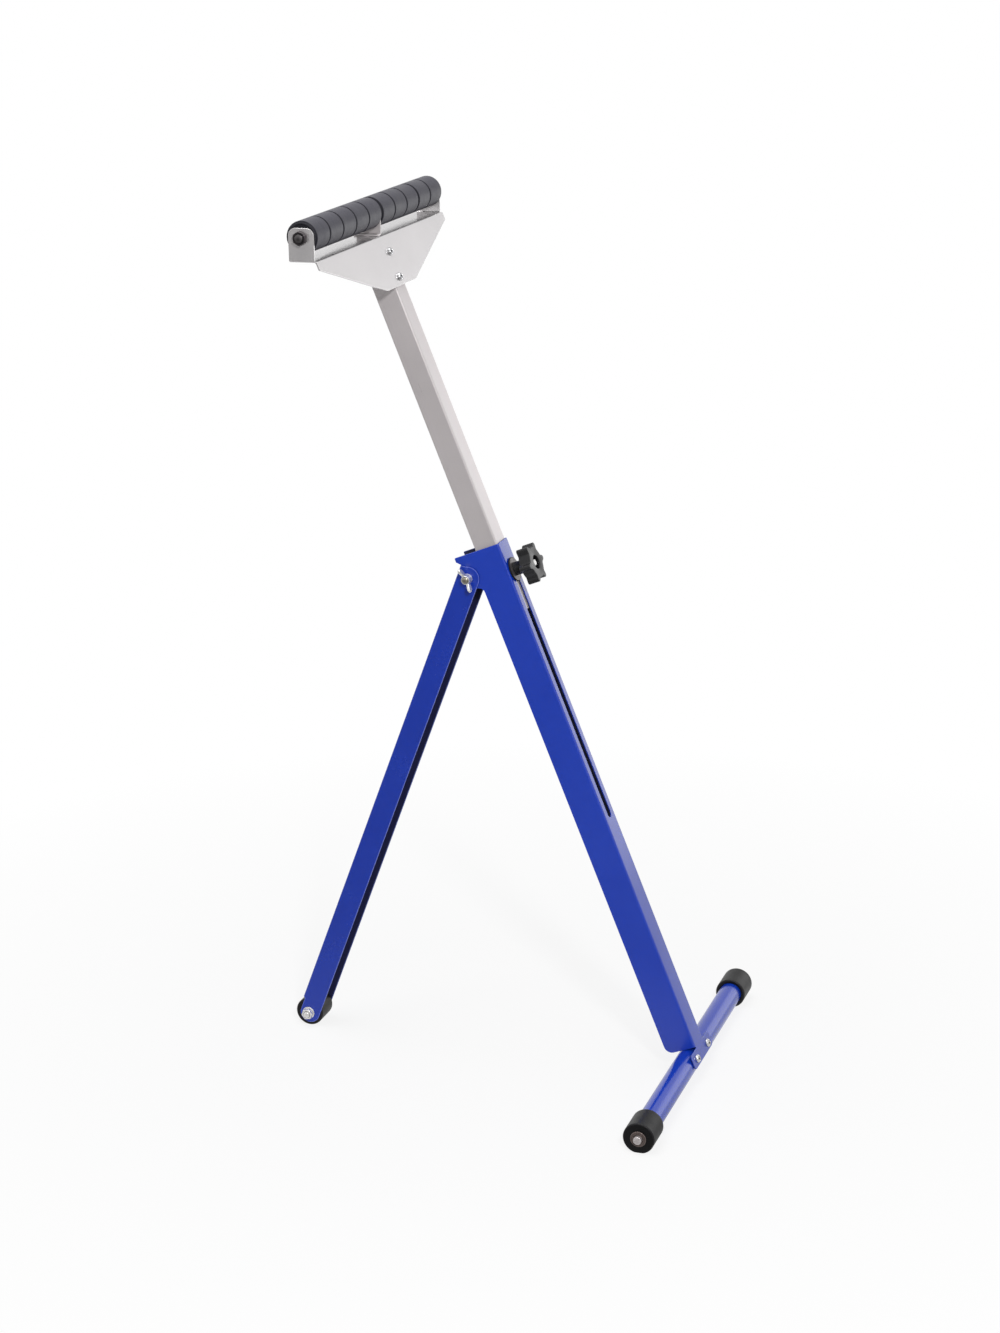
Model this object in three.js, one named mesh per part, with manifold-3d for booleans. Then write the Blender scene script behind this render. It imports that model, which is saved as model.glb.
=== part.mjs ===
// Folding roller stand: a leaning front leg on a cross foot, a hinged rear leg, and a sliding
// post that carries a row of loose rollers.
// Millimetres, +Z up, +X towards the cross foot, +Y along the roller axle, origin on the floor
// under the middle of the overall box.
import * as THREE from 'three';
import { mergeVertices } from 'three/addons/utils/BufferGeometryUtils.js';
import Module from 'manifold-3d';

const wasm = await Module();
wasm.setup();

// Overall stance
const ROLLER_TOP = 1080;
const FRONT_LEAN = THREE.MathUtils.degToRad(21.45);
const REAR_LEAN = THREE.MathUtils.degToRad(21.15);

// Sheet, fits and running clearances
const SHEET = 1.6;
const BEND = 2.8;
const FIT = 0.3;
const POST_PLAY = 0.6;
const LEG_PLAY = 0.5;
const HOLE_PLAY = 0.3;

// Sliding post
const POST_SIZE = 30;
const POST_WALL = 1.5;
const POST_CORNER = 2.2;
const POST_TAIL = 51.5;
const POST_HEADROOM = 5;

// Front leg channel: heights run along the leg from the floor line of its front face
const CHANNEL_WIDTH = POST_SIZE + 2 * (POST_PLAY + SHEET);
const CHANNEL_DEPTH = 39.5;
const FLANGE_END = 41;
const FLANGE_CORNER = 10;
const PIVOT_UP = 691.7;
const PIVOT_BACK = 52.8;
const EAR_BEHIND_PIVOT = 7.95;
const EAR_DEPTH = PIVOT_BACK + EAR_BEHIND_PIVOT;
const EAR_BELOW_PIVOT = 18.2;
const EAR_JOIN = PIVOT_UP - EAR_BELOW_PIVOT;
const TOP_ABOVE_PIVOT = 28.1;
const CHANNEL_TOP = PIVOT_UP + TOP_ABOVE_PIVOT;
const CLAMP_BELOW_TOP = 37.8;
const CLAMP_UP = CHANNEL_TOP - CLAMP_BELOW_TOP;
const SLOT_WIDTH = 11.6;
const SLOT_LENGTH = 331;
const SLOT_LOW = CLAMP_UP - SLOT_LENGTH;
const TAB_WIDTH = 81;
const TAB_ABOVE = 13;
const TAB_BELOW = 6;
const TAB_CORNER = 5;
const TAB_SCREW_SPREAD = 48;
const TAB_SCREW_RISE = 2.5;
const TAB_SCREW_RADIUS = 2.5;
const TAB_SCREW_LENGTH = 10;
const TAB_HEAD_RADIUS = 5.2;
const TAB_HEAD_HEIGHT = 3.6;

// Cross foot
const TUBE_RADIUS = 14.5;
const TUBE_WALL = 1.5;
const FOOT_SPAN = 474;
const CAP_RADIUS = 19.5;
const CAP_LENGTH = 41;
const CAP_END = 12;
const CAP_FLAT = 1.2;
const CAP_EDGE = 2.5;
const FOOT_ROD_RADIUS = 5;
const FOOT_ROD_PROUD = 4.6;

// Rear leg
const LEG_WIDTH = CHANNEL_WIDTH + 2 * (LEG_PLAY + SHEET);
const LEG_DEPTH = 29.1;
const LEG_HEAD = 11;
const LEG_CROWN = THREE.MathUtils.degToRad(120);
const LEG_SHOULDER = 17;
const TONGUE_INSET = 2.9;
const REAR_FOOT_RADIUS = 18.5;
const REAR_FOOT_EDGE = 2;
const REAR_BOLT_RADIUS = 4;

// Pivot
const PIVOT_RADIUS = 4;
const SLEEVE_RADIUS = 6.5;
const EAR_ROUND = LEG_DEPTH / 2 - SHEET - 2 * FIT;
const WING_REACH = 16;
const WING_HUB_RADIUS = 6.2;
const WING_HUB_HEIGHT = 8;
const WING_THICKNESS = 2.6;
const WING_RISE = 13;
const WING_ROOT = 1.2;
const WING_TIP = 3;
const WING_TURN = THREE.MathUtils.degToRad(28.8);

// Clamp
const CLAMP_RADIUS = 4;
const CLAMP_HEAD_RADIUS = 8.5;
const CLAMP_HEAD_HEIGHT = 4.5;
const CLAMP_WASHER_RADIUS = 15;
const CLAMP_WASHER = 2;
const KNOB_RADIUS = 18.9;
const KNOB_LOBE = 6.6;
const KNOB_LOBE_HALF = 0.5;
const KNOB_LOBES = 6;
const KNOB_HEAD = 15;
const KNOB_NECK_RADIUS = 8.4;
const KNOB_NECK = 14;
const KNOB_BEVEL = 1.2;
const KNOB_RECESS_RADIUS = 8.8;
const KNOB_RECESS = 6;

// Roller head
const HEAD_SHEET = 2;
const HEAD_WIDTH = 409.8;
const EAR_HALF = 15.55;
const EAR_ABOVE = 11;
const EAR_CROWN = 9;
const AXLE_OVER_FLOOR = 26.1;
const AXLE_BEHIND_FOLD = 18.2;
const AXLE_RADIUS = 5;
const PLATE_DROP = 62.3;
const PLATE_SIDE = 10.2;
const PLATE_FOOT = 94;
const HEAD_SCREW_UPPER = 20.5;
const HEAD_SCREW_PITCH = 31.8;
const HEAD_SCREW_RADIUS = 2.5;
const HEAD_SCREW_HEAD = 5;
const HEAD_SCREW_RISE = 3.8;
const HEAD_SCREW_LENGTH = 10;
const MID_EAR_FOOT = 12;
const ROLLER_RADIUS = 18.9;
const ROLLER_EDGE = 1.2;
const ROLLER_GAPS_NEAR = [0.5, 0.5, 0.6, 0.5, 0.6];
const ROLLER_GAPS_FAR = [0.7, 0.5, 0.5, 2.2, 0.5];
const BAY_PLAY = 4.9;
const BAY_WIDTH = HEAD_WIDTH / 2 - 1.5 * HEAD_SHEET;
const ROLLER_LENGTH = (BAY_WIDTH - BAY_PLAY) / ROLLER_GAPS_NEAR.length;

// Small hardware
const DOME = [[0, 1], [0.6, 0.85], [1, 0.35], [1, 0]];
const WASHER_RADIUS = 8;
const PIVOT_WASHER_RADIUS = 6.4;
const WASHER = 1.5;
const NUT_FLATS = 13;
const NUT_HEIGHT = 6.2;
const BOLT_HEAD = 5.3;
const BOLT_TIP = 1.5;
const FOOT_WASHER_RADIUS = 9.8;
const AXLE_NUT_FLATS = 15;

// Overrun of cutting shapes past the solid
const CUT_OVER = 5;

// Facets round a full turn
const ROUND_FINE = 32;
const ROUND = 24;

// Places that follow from the sizes above
const SIN_F = Math.sin(FRONT_LEAN);
const COS_F = Math.cos(FRONT_LEAN);
const FOOT_Z = CAP_RADIUS - CAP_FLAT;
const FOOT_BACK = SHEET + FIT + TUBE_RADIUS;
const FOOT_UP = (FOOT_Z + FOOT_BACK * SIN_F) / COS_F;
const POST_BACK = HEAD_SHEET + FIT;
const AXLE_Z = ROLLER_TOP - ROLLER_RADIUS;
const FLOOR_Z = AXLE_Z - AXLE_OVER_FLOOR;
const FOLD_UP = FLOOR_Z / COS_F;
const POST_TOP = FOLD_UP - (HEAD_SHEET + POST_HEADROOM) / COS_F;
const PIVOT_X = -PIVOT_UP * SIN_F - PIVOT_BACK * COS_F;
const PIVOT_Z = PIVOT_UP * COS_F - PIVOT_BACK * SIN_F;
const LEG_LENGTH = (PIVOT_Z - REAR_FOOT_RADIUS) / Math.cos(REAR_LEAN);
const AXLE_X = -FOLD_UP * SIN_F - AXLE_BEHIND_FOLD;

const frontFrame = new THREE.Matrix4().makeRotationY(-FRONT_LEAN);
const rearFrame = new THREE.Matrix4()
  .makeTranslation(PIVOT_X, 0, PIVOT_Z)
  .multiply(new THREE.Matrix4().makeRotationY(REAR_LEAN));
const worldFrame = new THREE.Matrix4();

// Leaves positions only, welded, with the faces turned outwards.
function weld(geometry) {
  const bare = geometry.index ? geometry.toNonIndexed() : geometry.clone();
  bare.deleteAttribute('normal');
  bare.deleteAttribute('uv');
  bare.groups = [];
  const welded = mergeVertices(bare, 1e-4);
  return signedVolume(welded) < 0 ? flipped(welded) : welded;
}

function signedVolume(geometry) {
  const position = geometry.attributes.position;
  const index = geometry.index.array;
  const corner = [new THREE.Vector3(), new THREE.Vector3(), new THREE.Vector3()];
  let sum = 0;
  for (let i = 0; i < index.length; i += 3) {
    corner.forEach((c, k) => c.fromBufferAttribute(position, index[i + k]));
    sum += corner[0].dot(corner[1].cross(corner[2]));
  }
  return sum / 6;
}

function flipped(geometry) {
  const index = Array.from(geometry.index.array);
  for (let i = 0; i < index.length; i += 3) {
    [index[i + 1], index[i + 2]] = [index[i + 2], index[i + 1]];
  }
  geometry.setIndex(index);
  return geometry;
}

function toSolid(geometry) {
  const welded = weld(geometry);
  return new wasm.Manifold(new wasm.Mesh({
    numProp: 3,
    vertProperties: new Float32Array(welded.attributes.position.array),
    triVerts: new Uint32Array(welded.index.array),
  }));
}

function toGeometry(solid) {
  const mesh = solid.getMesh();
  const geometry = new THREE.BufferGeometry();
  geometry.setAttribute('position', new THREE.BufferAttribute(mesh.vertProperties, 3));
  geometry.setIndex(new THREE.BufferAttribute(mesh.triVerts, 1));
  return geometry;
}

const join = (...pieces) => toGeometry(pieces.map(toSolid).reduce((a, b) => a.add(b)));
const cut = (body, ...tools) => toGeometry(tools.map(toSolid).reduce((a, b) => a.subtract(b), toSolid(body)));
const keep = (body, mask) => toGeometry(toSolid(body).intersect(toSolid(mask)));

function polygon(points) {
  return new THREE.Shape(points.map(([x, y]) => new THREE.Vector2(x, y)));
}

function circleHole(shape, radius) {
  const hole = new THREE.Path();
  hole.absarc(0, 0, radius, 0, 2 * Math.PI, true);
  shape.holes.push(hole);
  return shape;
}

function extrude(shape, depth, segments = 8) {
  return new THREE.ExtrudeGeometry(shape, { depth, bevelEnabled: false, curveSegments: segments });
}

// Outline drawn in X and Z, carried across Y about the middle.
function prismY(shape, width, segments) {
  return extrude(shape, width, segments).rotateX(Math.PI / 2).translate(0, width / 2, 0);
}

// Outline drawn in Y and Z, carried along X from x0 to x1.
function prismX(shape, x0, x1, segments) {
  const turn = new THREE.Matrix4().makeBasis(
    new THREE.Vector3(0, 1, 0),
    new THREE.Vector3(0, 0, 1),
    new THREE.Vector3(1, 0, 0),
  );
  return extrude(shape, x1 - x0, segments).applyMatrix4(turn).translate(x0, 0, 0);
}

function rodY(radius, y0, y1, facets = ROUND) {
  return new THREE.CylinderGeometry(radius, radius, y1 - y0, facets).translate(0, (y0 + y1) / 2, 0);
}

function rodX(radius, x0, x1, facets = ROUND) {
  return rodY(radius, x0, x1, facets).rotateZ(-Math.PI / 2);
}

// Ring turned about Y from a closed outline of radius and height pairs.
function turned(outline, facets = ROUND) {
  const points = [...outline, outline[0]].map(([r, y]) => new THREE.Vector2(r, y));
  return new THREE.LatheGeometry(points, facets);
}

function washerY(bore, radius, y0, y1) {
  return turned([[bore, y0], [radius, y0], [radius, y1], [bore, y1]]);
}

function hexagon(flats) {
  const corner = flats / Math.sqrt(3);
  const points = [];
  for (let k = 0; k < 6; k += 1) {
    const angle = (k + 0.5) * Math.PI / 3;
    points.push([corner * Math.cos(angle), corner * Math.sin(angle)]);
  }
  return polygon(points);
}

function nutY(bore, flats, y0, y1) {
  return prismY(circleHole(hexagon(flats), bore), y1 - y0, ROUND / 2).translate(0, (y0 + y1) / 2, 0);
}

// Hexagon-headed bolt along Y: shank from y0 to y1, head beyond y1.
function hexBoltY(radius, y0, y1) {
  const head = prismY(hexagon(NUT_FLATS), BOLT_HEAD).translate(0, y1 + BOLT_HEAD / 2, 0);
  return join(rodY(radius, y0, y1 + BOLT_HEAD / 2), head);
}

// Round-headed bolt along X: shank from tip to seat, domed head beyond the seat.
function domedBoltX(radius, tip, seat, headRadius, headRise, facets) {
  const out = Math.sign(seat - tip);
  const dome = DOME.map(([across, up]) => [headRadius * across, seat + out * headRise * up]);
  const outline = [...dome, [radius, seat], [radius, tip], [0, tip]];
  const points = outline.map(([r, x]) => new THREE.Vector2(r, x));
  return new THREE.LatheGeometry(points, facets).rotateZ(-Math.PI / 2);
}

// Folded channel section: web outside at x = 0, flanges running to x = -depth.
function channelSection(width, depth) {
  const half = width / 2;
  const inner = BEND - SHEET;
  const shape = new THREE.Shape();
  shape.moveTo(-depth, -half);
  shape.lineTo(-BEND, -half);
  shape.absarc(-BEND, -half + BEND, BEND, -Math.PI / 2, 0, false);
  shape.absarc(-BEND, half - BEND, BEND, 0, Math.PI / 2, false);
  shape.lineTo(-depth, half);
  shape.lineTo(-depth, half - SHEET);
  shape.absarc(-SHEET - inner, half - SHEET - inner, inner, Math.PI / 2, 0, true);
  shape.absarc(-SHEET - inner, -half + SHEET + inner, inner, 0, -Math.PI / 2, true);
  shape.lineTo(-depth, -half + SHEET);
  return shape;
}

function slotShape() {
  const r = SLOT_WIDTH / 2;
  const shape = new THREE.Shape();
  shape.absarc(0, CLAMP_UP + FIT, r, 0, Math.PI, false);
  shape.absarc(0, SLOT_LOW + r, r, Math.PI, 2 * Math.PI, false);
  return shape;
}

// A point given along and behind the rear leg's axis, turned into the front leg's own frame.
function fromLeg(down, behind) {
  const turn = FRONT_LEAN + REAR_LEAN;
  const x = -down * Math.sin(turn) - behind * Math.cos(turn);
  const z = -down * Math.cos(turn) + behind * Math.sin(turn);
  return [-PIVOT_BACK + x, PIVOT_UP + z];
}

// Where a line from the flange touches the round part of the ear on its lower side.
function earTangent() {
  const dx = -CHANNEL_DEPTH + PIVOT_BACK;
  const dz = EAR_JOIN - PIVOT_UP;
  const angle = Math.atan2(dz, dx) - Math.acos(EAR_ROUND / Math.hypot(dx, dz));
  return [-PIVOT_BACK + EAR_ROUND * Math.cos(angle), PIVOT_UP + EAR_ROUND * Math.sin(angle)];
}

// Side view of the front channel: long flange, rear ear with its stop shelf, rounded lower corner.
function channelSide() {
  const shelf = -LEG_HEAD - FIT;
  const shelfInner = Math.sqrt(EAR_ROUND ** 2 - shelf ** 2);
  const [ix, iz] = fromLeg(shelf, shelfInner);
  const [ox, oz] = fromLeg(shelf, shelfInner + 1);
  const rearZ = iz + (oz - iz) * (-EAR_DEPTH - ix) / (ox - ix);
  const shape = new THREE.Shape();
  shape.moveTo(CUT_OVER, FLANGE_END);
  shape.lineTo(CUT_OVER, CHANNEL_TOP + CUT_OVER);
  shape.lineTo(-EAR_DEPTH, CHANNEL_TOP + CUT_OVER);
  shape.lineTo(-EAR_DEPTH, rearZ);
  shape.lineTo(ix, iz);
  shape.lineTo(-PIVOT_BACK, PIVOT_UP);
  shape.lineTo(...earTangent());
  shape.lineTo(-CHANNEL_DEPTH, EAR_JOIN);
  shape.lineTo(-CHANNEL_DEPTH, FLANGE_END + FLANGE_CORNER);
  const cornerZ = FLANGE_END + FLANGE_CORNER;
  shape.absarc(-CHANNEL_DEPTH + FLANGE_CORNER, cornerZ, FLANGE_CORNER, Math.PI, 1.5 * Math.PI);
  return shape;
}

function tabShape() {
  const half = TAB_WIDTH / 2;
  const low = FOOT_UP - TAB_BELOW;
  const high = FOOT_UP + TAB_ABOVE;
  const neck = CHANNEL_WIDTH / 2 - BEND;
  const c = TAB_CORNER;
  const shape = new THREE.Shape();
  shape.moveTo(-half + c, low);
  shape.absarc(half - c, low + c, c, -Math.PI / 2, 0);
  shape.absarc(half - c, high - c, c, 0, Math.PI / 2);
  shape.lineTo(neck, high);
  shape.lineTo(neck, FLANGE_END + SHEET);
  shape.lineTo(-neck, FLANGE_END + SHEET);
  shape.lineTo(-neck, high);
  shape.absarc(-half + c, high - c, c, Math.PI / 2, Math.PI);
  shape.absarc(-half + c, low + c, c, Math.PI, 1.5 * Math.PI);
  return shape;
}

function frontLegChannel() {
  const section = extrude(channelSection(CHANNEL_WIDTH, EAR_DEPTH), CHANNEL_TOP - FLANGE_END, 4)
    .translate(0, 0, FLANGE_END);
  const round = rodY(EAR_ROUND, -CHANNEL_WIDTH, CHANNEL_WIDTH, ROUND_FINE)
    .translate(-PIVOT_BACK, 0, PIVOT_UP);
  const folded = keep(section, join(prismY(channelSide(), 2 * CHANNEL_WIDTH, 6), round));
  const body = join(folded, prismX(tabShape(), -SHEET, 0, 4));
  const screwHoles = [-1, 1].map((side) => rodX(TAB_SCREW_RADIUS + HOLE_PLAY, -2 * SHEET, SHEET, ROUND / 2)
    .translate(0, side * TAB_SCREW_SPREAD / 2, FOOT_UP + TAB_SCREW_RISE));
  return cut(
    body,
    prismX(slotShape(), -2 * SHEET, SHEET, 8),
    rodY(TUBE_RADIUS + FIT, -CHANNEL_WIDTH, CHANNEL_WIDTH, ROUND_FINE).translate(-FOOT_BACK, 0, FOOT_UP),
    rodY(PIVOT_RADIUS + HOLE_PLAY, -CHANNEL_WIDTH, CHANNEL_WIDTH).translate(-PIVOT_BACK, 0, PIVOT_UP),
    ...screwHoles,
  );
}

const atFoot = (geometry) => geometry.translate(-FOOT_BACK, 0, FOOT_UP);

function footTube() {
  const half = FOOT_SPAN / 2 - CAP_END - FIT;
  const bore = TUBE_RADIUS - TUBE_WALL;
  const wall = turned([[bore, -half], [TUBE_RADIUS, -half], [TUBE_RADIUS, half], [bore, half]], ROUND_FINE)
    .rotateY(Math.PI / ROUND_FINE);
  const holes = [-1, 1].map((side) => rodX(TAB_SCREW_RADIUS + HOLE_PLAY, 0, 2 * TUBE_RADIUS, ROUND / 2)
    .translate(0, side * TAB_SCREW_SPREAD / 2, TAB_SCREW_RISE));
  return atFoot(cut(wall, ...holes));
}

// Cup over the tube end, bored for the rod, its tread cut flat on the floor.
function footCap(side) {
  const out = FOOT_SPAN / 2;
  const bore = TUBE_RADIUS + FIT;
  const rod = FOOT_ROD_RADIUS + HOLE_PLAY;
  const cup = turned([
    [rod, out - CAP_END], [bore, out - CAP_END], [bore, out - CAP_LENGTH],
    [CAP_RADIUS - CAP_EDGE, out - CAP_LENGTH], [CAP_RADIUS, out - CAP_LENGTH + CAP_EDGE],
    [CAP_RADIUS, out - CAP_EDGE], [CAP_RADIUS - CAP_EDGE, out], [rod, out],
  ], ROUND_FINE);
  const upright = cup.rotateY(FRONT_LEAN);
  const faced = side > 0 ? upright : upright.rotateZ(Math.PI);
  const level = atFoot(faced).applyMatrix4(frontFrame);
  const floorBlock = new THREE.BoxGeometry(4 * CAP_RADIUS, 2 * FOOT_SPAN, 2 * CAP_RADIUS)
    .translate(-FOOT_BACK * COS_F - FOOT_UP * SIN_F, 0, -CAP_RADIUS);
  return cut(level, floorBlock);
}

function footRod() {
  const half = FOOT_SPAN / 2 + FIT + WASHER + FOOT_ROD_PROUD;
  return atFoot(rodY(FOOT_ROD_RADIUS, -half, half));
}

// Push-on washer that grips the rod end and keeps the cap on.
function footWasher(side) {
  const start = FOOT_SPAN / 2 + FIT;
  const ring = washerY(FOOT_ROD_RADIUS + HOLE_PLAY, FOOT_WASHER_RADIUS, start, start + WASHER);
  return atFoot(side > 0 ? ring : ring.rotateZ(Math.PI));
}

function tabScrew(side) {
  return domedBoltX(TAB_SCREW_RADIUS, -TAB_SCREW_LENGTH, 0, TAB_HEAD_RADIUS, TAB_HEAD_HEIGHT, ROUND / 2)
    .translate(FIT, side * TAB_SCREW_SPREAD / 2, FOOT_UP + TAB_SCREW_RISE);
}

const atPivot = (geometry) => geometry.translate(-PIVOT_BACK, 0, PIVOT_UP);
const LEG_HALF = LEG_WIDTH / 2;
const WASHER_OUT = LEG_HALF + FIT + WASHER;

function pivotBolt() {
  return atPivot(hexBoltY(PIVOT_RADIUS, -WASHER_OUT - FIT - WING_HUB_HEIGHT - BOLT_TIP, WASHER_OUT + FIT));
}

function pivotWasher(side) {
  const ring = washerY(PIVOT_RADIUS + HOLE_PLAY, PIVOT_WASHER_RADIUS, LEG_HALF + FIT, WASHER_OUT);
  return atPivot(side > 0 ? ring : ring.rotateZ(Math.PI));
}

function pivotSleeve() {
  const half = CHANNEL_WIDTH / 2 - SHEET - FIT;
  return atPivot(washerY(PIVOT_RADIUS + HOLE_PLAY, SLEEVE_RADIUS, -half, half));
}

// Wing nut: tapered hub with two rounded wings standing outwards.
function wingNut() {
  const base = -WASHER_OUT - FIT;
  const tip = base - WING_HUB_HEIGHT;
  const hub = rodY(WING_HUB_RADIUS, tip, base);
  const wing = new THREE.Shape();
  const waist = -WING_HUB_HEIGHT + WING_ROOT;
  wing.moveTo(0, -WING_ROOT);
  wing.lineTo(WING_HUB_RADIUS, -WING_ROOT);
  wing.quadraticCurveTo(WING_REACH - WING_TIP, -2 * WING_ROOT, WING_REACH, -WING_RISE + WING_TIP);
  wing.quadraticCurveTo(WING_REACH, -WING_RISE, WING_REACH - WING_TIP, -WING_RISE);
  const hollow = -WING_RISE + WING_ROOT;
  wing.quadraticCurveTo(WING_HUB_RADIUS + WING_ROOT, hollow, WING_HUB_RADIUS - WING_ROOT, waist);
  wing.lineTo(0, waist);
  const blade = extrude(wing, WING_THICKNESS, 6).translate(0, base, -WING_THICKNESS / 2);
  const other = blade.clone().rotateY(Math.PI);
  const bore = rodY(PIVOT_RADIUS + HOLE_PLAY / 2, tip - WING_RISE, base + CUT_OVER);
  const nut = cut(join(hub, blade, other), bore);
  return atPivot(nut.rotateY(Math.PI / 2 - WING_TURN + FRONT_LEAN));
}

// Side view of the rear leg: rounded head at the pivot, web cut short above the foot, round tongue.
function rearLegSide() {
  const half = LEG_DEPTH / 2;
  const low = -LEG_LENGTH;
  const tongue = half - TONGUE_INSET / 2;
  const shape = new THREE.Shape();
  shape.moveTo(half, 0);
  shape.absarc(0, 0, half, 0, LEG_CROWN, false);
  shape.lineTo(-half, LEG_HEAD);
  shape.lineTo(-half - CUT_OVER, LEG_HEAD);
  shape.lineTo(-half - CUT_OVER, low + LEG_SHOULDER);
  shape.lineTo(-half + TONGUE_INSET, low + LEG_SHOULDER);
  shape.absarc(TONGUE_INSET / 2, low, tongue, Math.PI, 2 * Math.PI, false);
  return shape;
}

function rearLegChannel() {
  const half = LEG_DEPTH / 2;
  const over = 2 * half;
  const section = extrude(channelSection(LEG_WIDTH, LEG_DEPTH), LEG_LENGTH + 2 * over, 4)
    .rotateZ(Math.PI)
    .translate(-half, 0, -LEG_LENGTH - over);
  const webTop = new THREE.BoxGeometry(BEND, LEG_WIDTH - 2 * SHEET - FIT, 2 * over)
    .translate(-half + BEND / 2 - FIT, 0, LEG_HEAD + over);
  return cut(
    keep(section, prismY(rearLegSide(), 2 * LEG_WIDTH, 10)),
    webTop,
    rodY(PIVOT_RADIUS + HOLE_PLAY, -LEG_WIDTH, LEG_WIDTH),
    rodY(REAR_BOLT_RADIUS + HOLE_PLAY, -LEG_WIDTH, LEG_WIDTH).translate(0, 0, -LEG_LENGTH),
  );
}

const atRearFoot = (geometry) => geometry.translate(0, 0, -LEG_LENGTH);

function rearFoot() {
  const half = LEG_HALF - SHEET - FIT;
  const bore = REAR_BOLT_RADIUS + HOLE_PLAY;
  return atRearFoot(turned([
    [bore, -half], [REAR_FOOT_RADIUS - REAR_FOOT_EDGE, -half], [REAR_FOOT_RADIUS, -half + REAR_FOOT_EDGE],
    [REAR_FOOT_RADIUS, half - REAR_FOOT_EDGE], [REAR_FOOT_RADIUS - REAR_FOOT_EDGE, half], [bore, half],
  ], ROUND_FINE).rotateY(-REAR_LEAN));
}

function rearBolt() {
  return atRearFoot(hexBoltY(REAR_BOLT_RADIUS, -WASHER_OUT - FIT - NUT_HEIGHT - BOLT_TIP, LEG_HALF + FIT));
}

function rearWasher() {
  return atRearFoot(washerY(REAR_BOLT_RADIUS + HOLE_PLAY, WASHER_RADIUS, -WASHER_OUT, -LEG_HALF - FIT));
}

function rearNut() {
  const start = -WASHER_OUT - FIT;
  return atRearFoot(nutY(REAR_BOLT_RADIUS + HOLE_PLAY / 2, NUT_FLATS, start - NUT_HEIGHT, start));
}

function roundedSquare(half, corner, path) {
  const c = half - corner;
  path.absarc(c, c, corner, 0, Math.PI / 2, false);
  path.absarc(-c, c, corner, Math.PI / 2, Math.PI, false);
  path.absarc(-c, -c, corner, Math.PI, 1.5 * Math.PI, false);
  path.absarc(c, -c, corner, 1.5 * Math.PI, 2 * Math.PI, false);
  return path;
}

function innerPost() {
  const half = POST_SIZE / 2;
  const low = CLAMP_UP - POST_TAIL;
  const section = roundedSquare(half, POST_CORNER, new THREE.Shape());
  section.holes.push(roundedSquare(half - POST_WALL, POST_CORNER - POST_WALL + FIT, new THREE.Path()));
  const tube = extrude(section, POST_TOP - low, 3).translate(-POST_BACK - half, 0, low);
  const front = -POST_BACK - 2 * POST_WALL;
  const holes = [FOLD_UP - HEAD_SCREW_UPPER, FOLD_UP - HEAD_SCREW_UPPER - HEAD_SCREW_PITCH]
    .map((up) => rodX(HEAD_SCREW_RADIUS + HOLE_PLAY, front, 0, ROUND / 2).translate(0, 0, up));
  return cut(tube, rodX(CLAMP_RADIUS + HOLE_PLAY, front, 0).translate(0, 0, CLAMP_UP), ...holes);
}

const atClamp = (geometry) => geometry.translate(0, 0, CLAMP_UP);
const KNOB_BACK = FIT + CLAMP_WASHER + FIT;
const KNOB_FRONT = KNOB_BACK + KNOB_NECK + KNOB_HEAD;

function clampBolt() {
  const seat = -POST_BACK - POST_WALL - FIT;
  return atClamp(domedBoltX(
    CLAMP_RADIUS, KNOB_FRONT - BOLT_TIP, seat, CLAMP_HEAD_RADIUS, CLAMP_HEAD_HEIGHT, ROUND,
  ));
}

function clampWasher() {
  const ring = washerY(CLAMP_RADIUS + HOLE_PLAY, CLAMP_WASHER_RADIUS, FIT, FIT + CLAMP_WASHER);
  return atClamp(ring.rotateZ(-Math.PI / 2));
}

function lobedOutline(inset) {
  const points = [];
  const steps = KNOB_LOBES * 12;
  for (let k = 0; k < steps; k += 1) {
    const angle = 2 * Math.PI * k / steps;
    const away = Math.abs(Math.sin(KNOB_LOBES * angle / 2)) / KNOB_LOBE_HALF;
    const lobe = KNOB_LOBE * Math.exp(-(away ** 3));
    const radius = KNOB_RADIUS - inset + lobe;
    points.push([radius * Math.cos(angle), radius * Math.sin(angle)]);
  }
  return polygon(points);
}

// Star knob on a round neck, its face hollowed round the end of the clamp bolt.
function knob() {
  const headBack = KNOB_BACK + KNOB_NECK;
  const head = new THREE.ExtrudeGeometry(lobedOutline(KNOB_BEVEL), {
    depth: KNOB_HEAD - 2 * KNOB_BEVEL,
    bevelEnabled: true,
    bevelThickness: KNOB_BEVEL,
    bevelSize: KNOB_BEVEL,
    bevelSegments: 1,
  });
  const turn = new THREE.Matrix4().makeBasis(
    new THREE.Vector3(0, 1, 0),
    new THREE.Vector3(0, 0, 1),
    new THREE.Vector3(1, 0, 0),
  );
  head.applyMatrix4(turn).translate(headBack + KNOB_BEVEL, 0, 0);
  const neck = rodX(KNOB_NECK_RADIUS, KNOB_BACK, headBack + KNOB_HEAD / 2);
  return atClamp(cut(
    join(head, neck),
    rodX(KNOB_RECESS_RADIUS, KNOB_FRONT - KNOB_RECESS, KNOB_FRONT + CUT_OVER),
    rodX(CLAMP_RADIUS + HOLE_PLAY / 2, 0, KNOB_FRONT),
  ));
}

// Upright ear with rounded shoulders, drawn in X and Z about the axle, reaching drop below the floor face.
function earShape(drop) {
  const c = EAR_CROWN;
  const shape = new THREE.Shape();
  shape.moveTo(-EAR_HALF, -AXLE_OVER_FLOOR - drop);
  shape.lineTo(EAR_HALF, -AXLE_OVER_FLOOR - drop);
  shape.absarc(EAR_HALF - c, EAR_ABOVE - c, c, 0, Math.PI / 2, false);
  shape.absarc(-EAR_HALF + c, EAR_ABOVE - c, c, Math.PI / 2, Math.PI, false);
  return shape;
}

function ear(y, drop) {
  return prismY(earShape(drop), HEAD_SHEET, 5).translate(0, y, 0);
}

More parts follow.
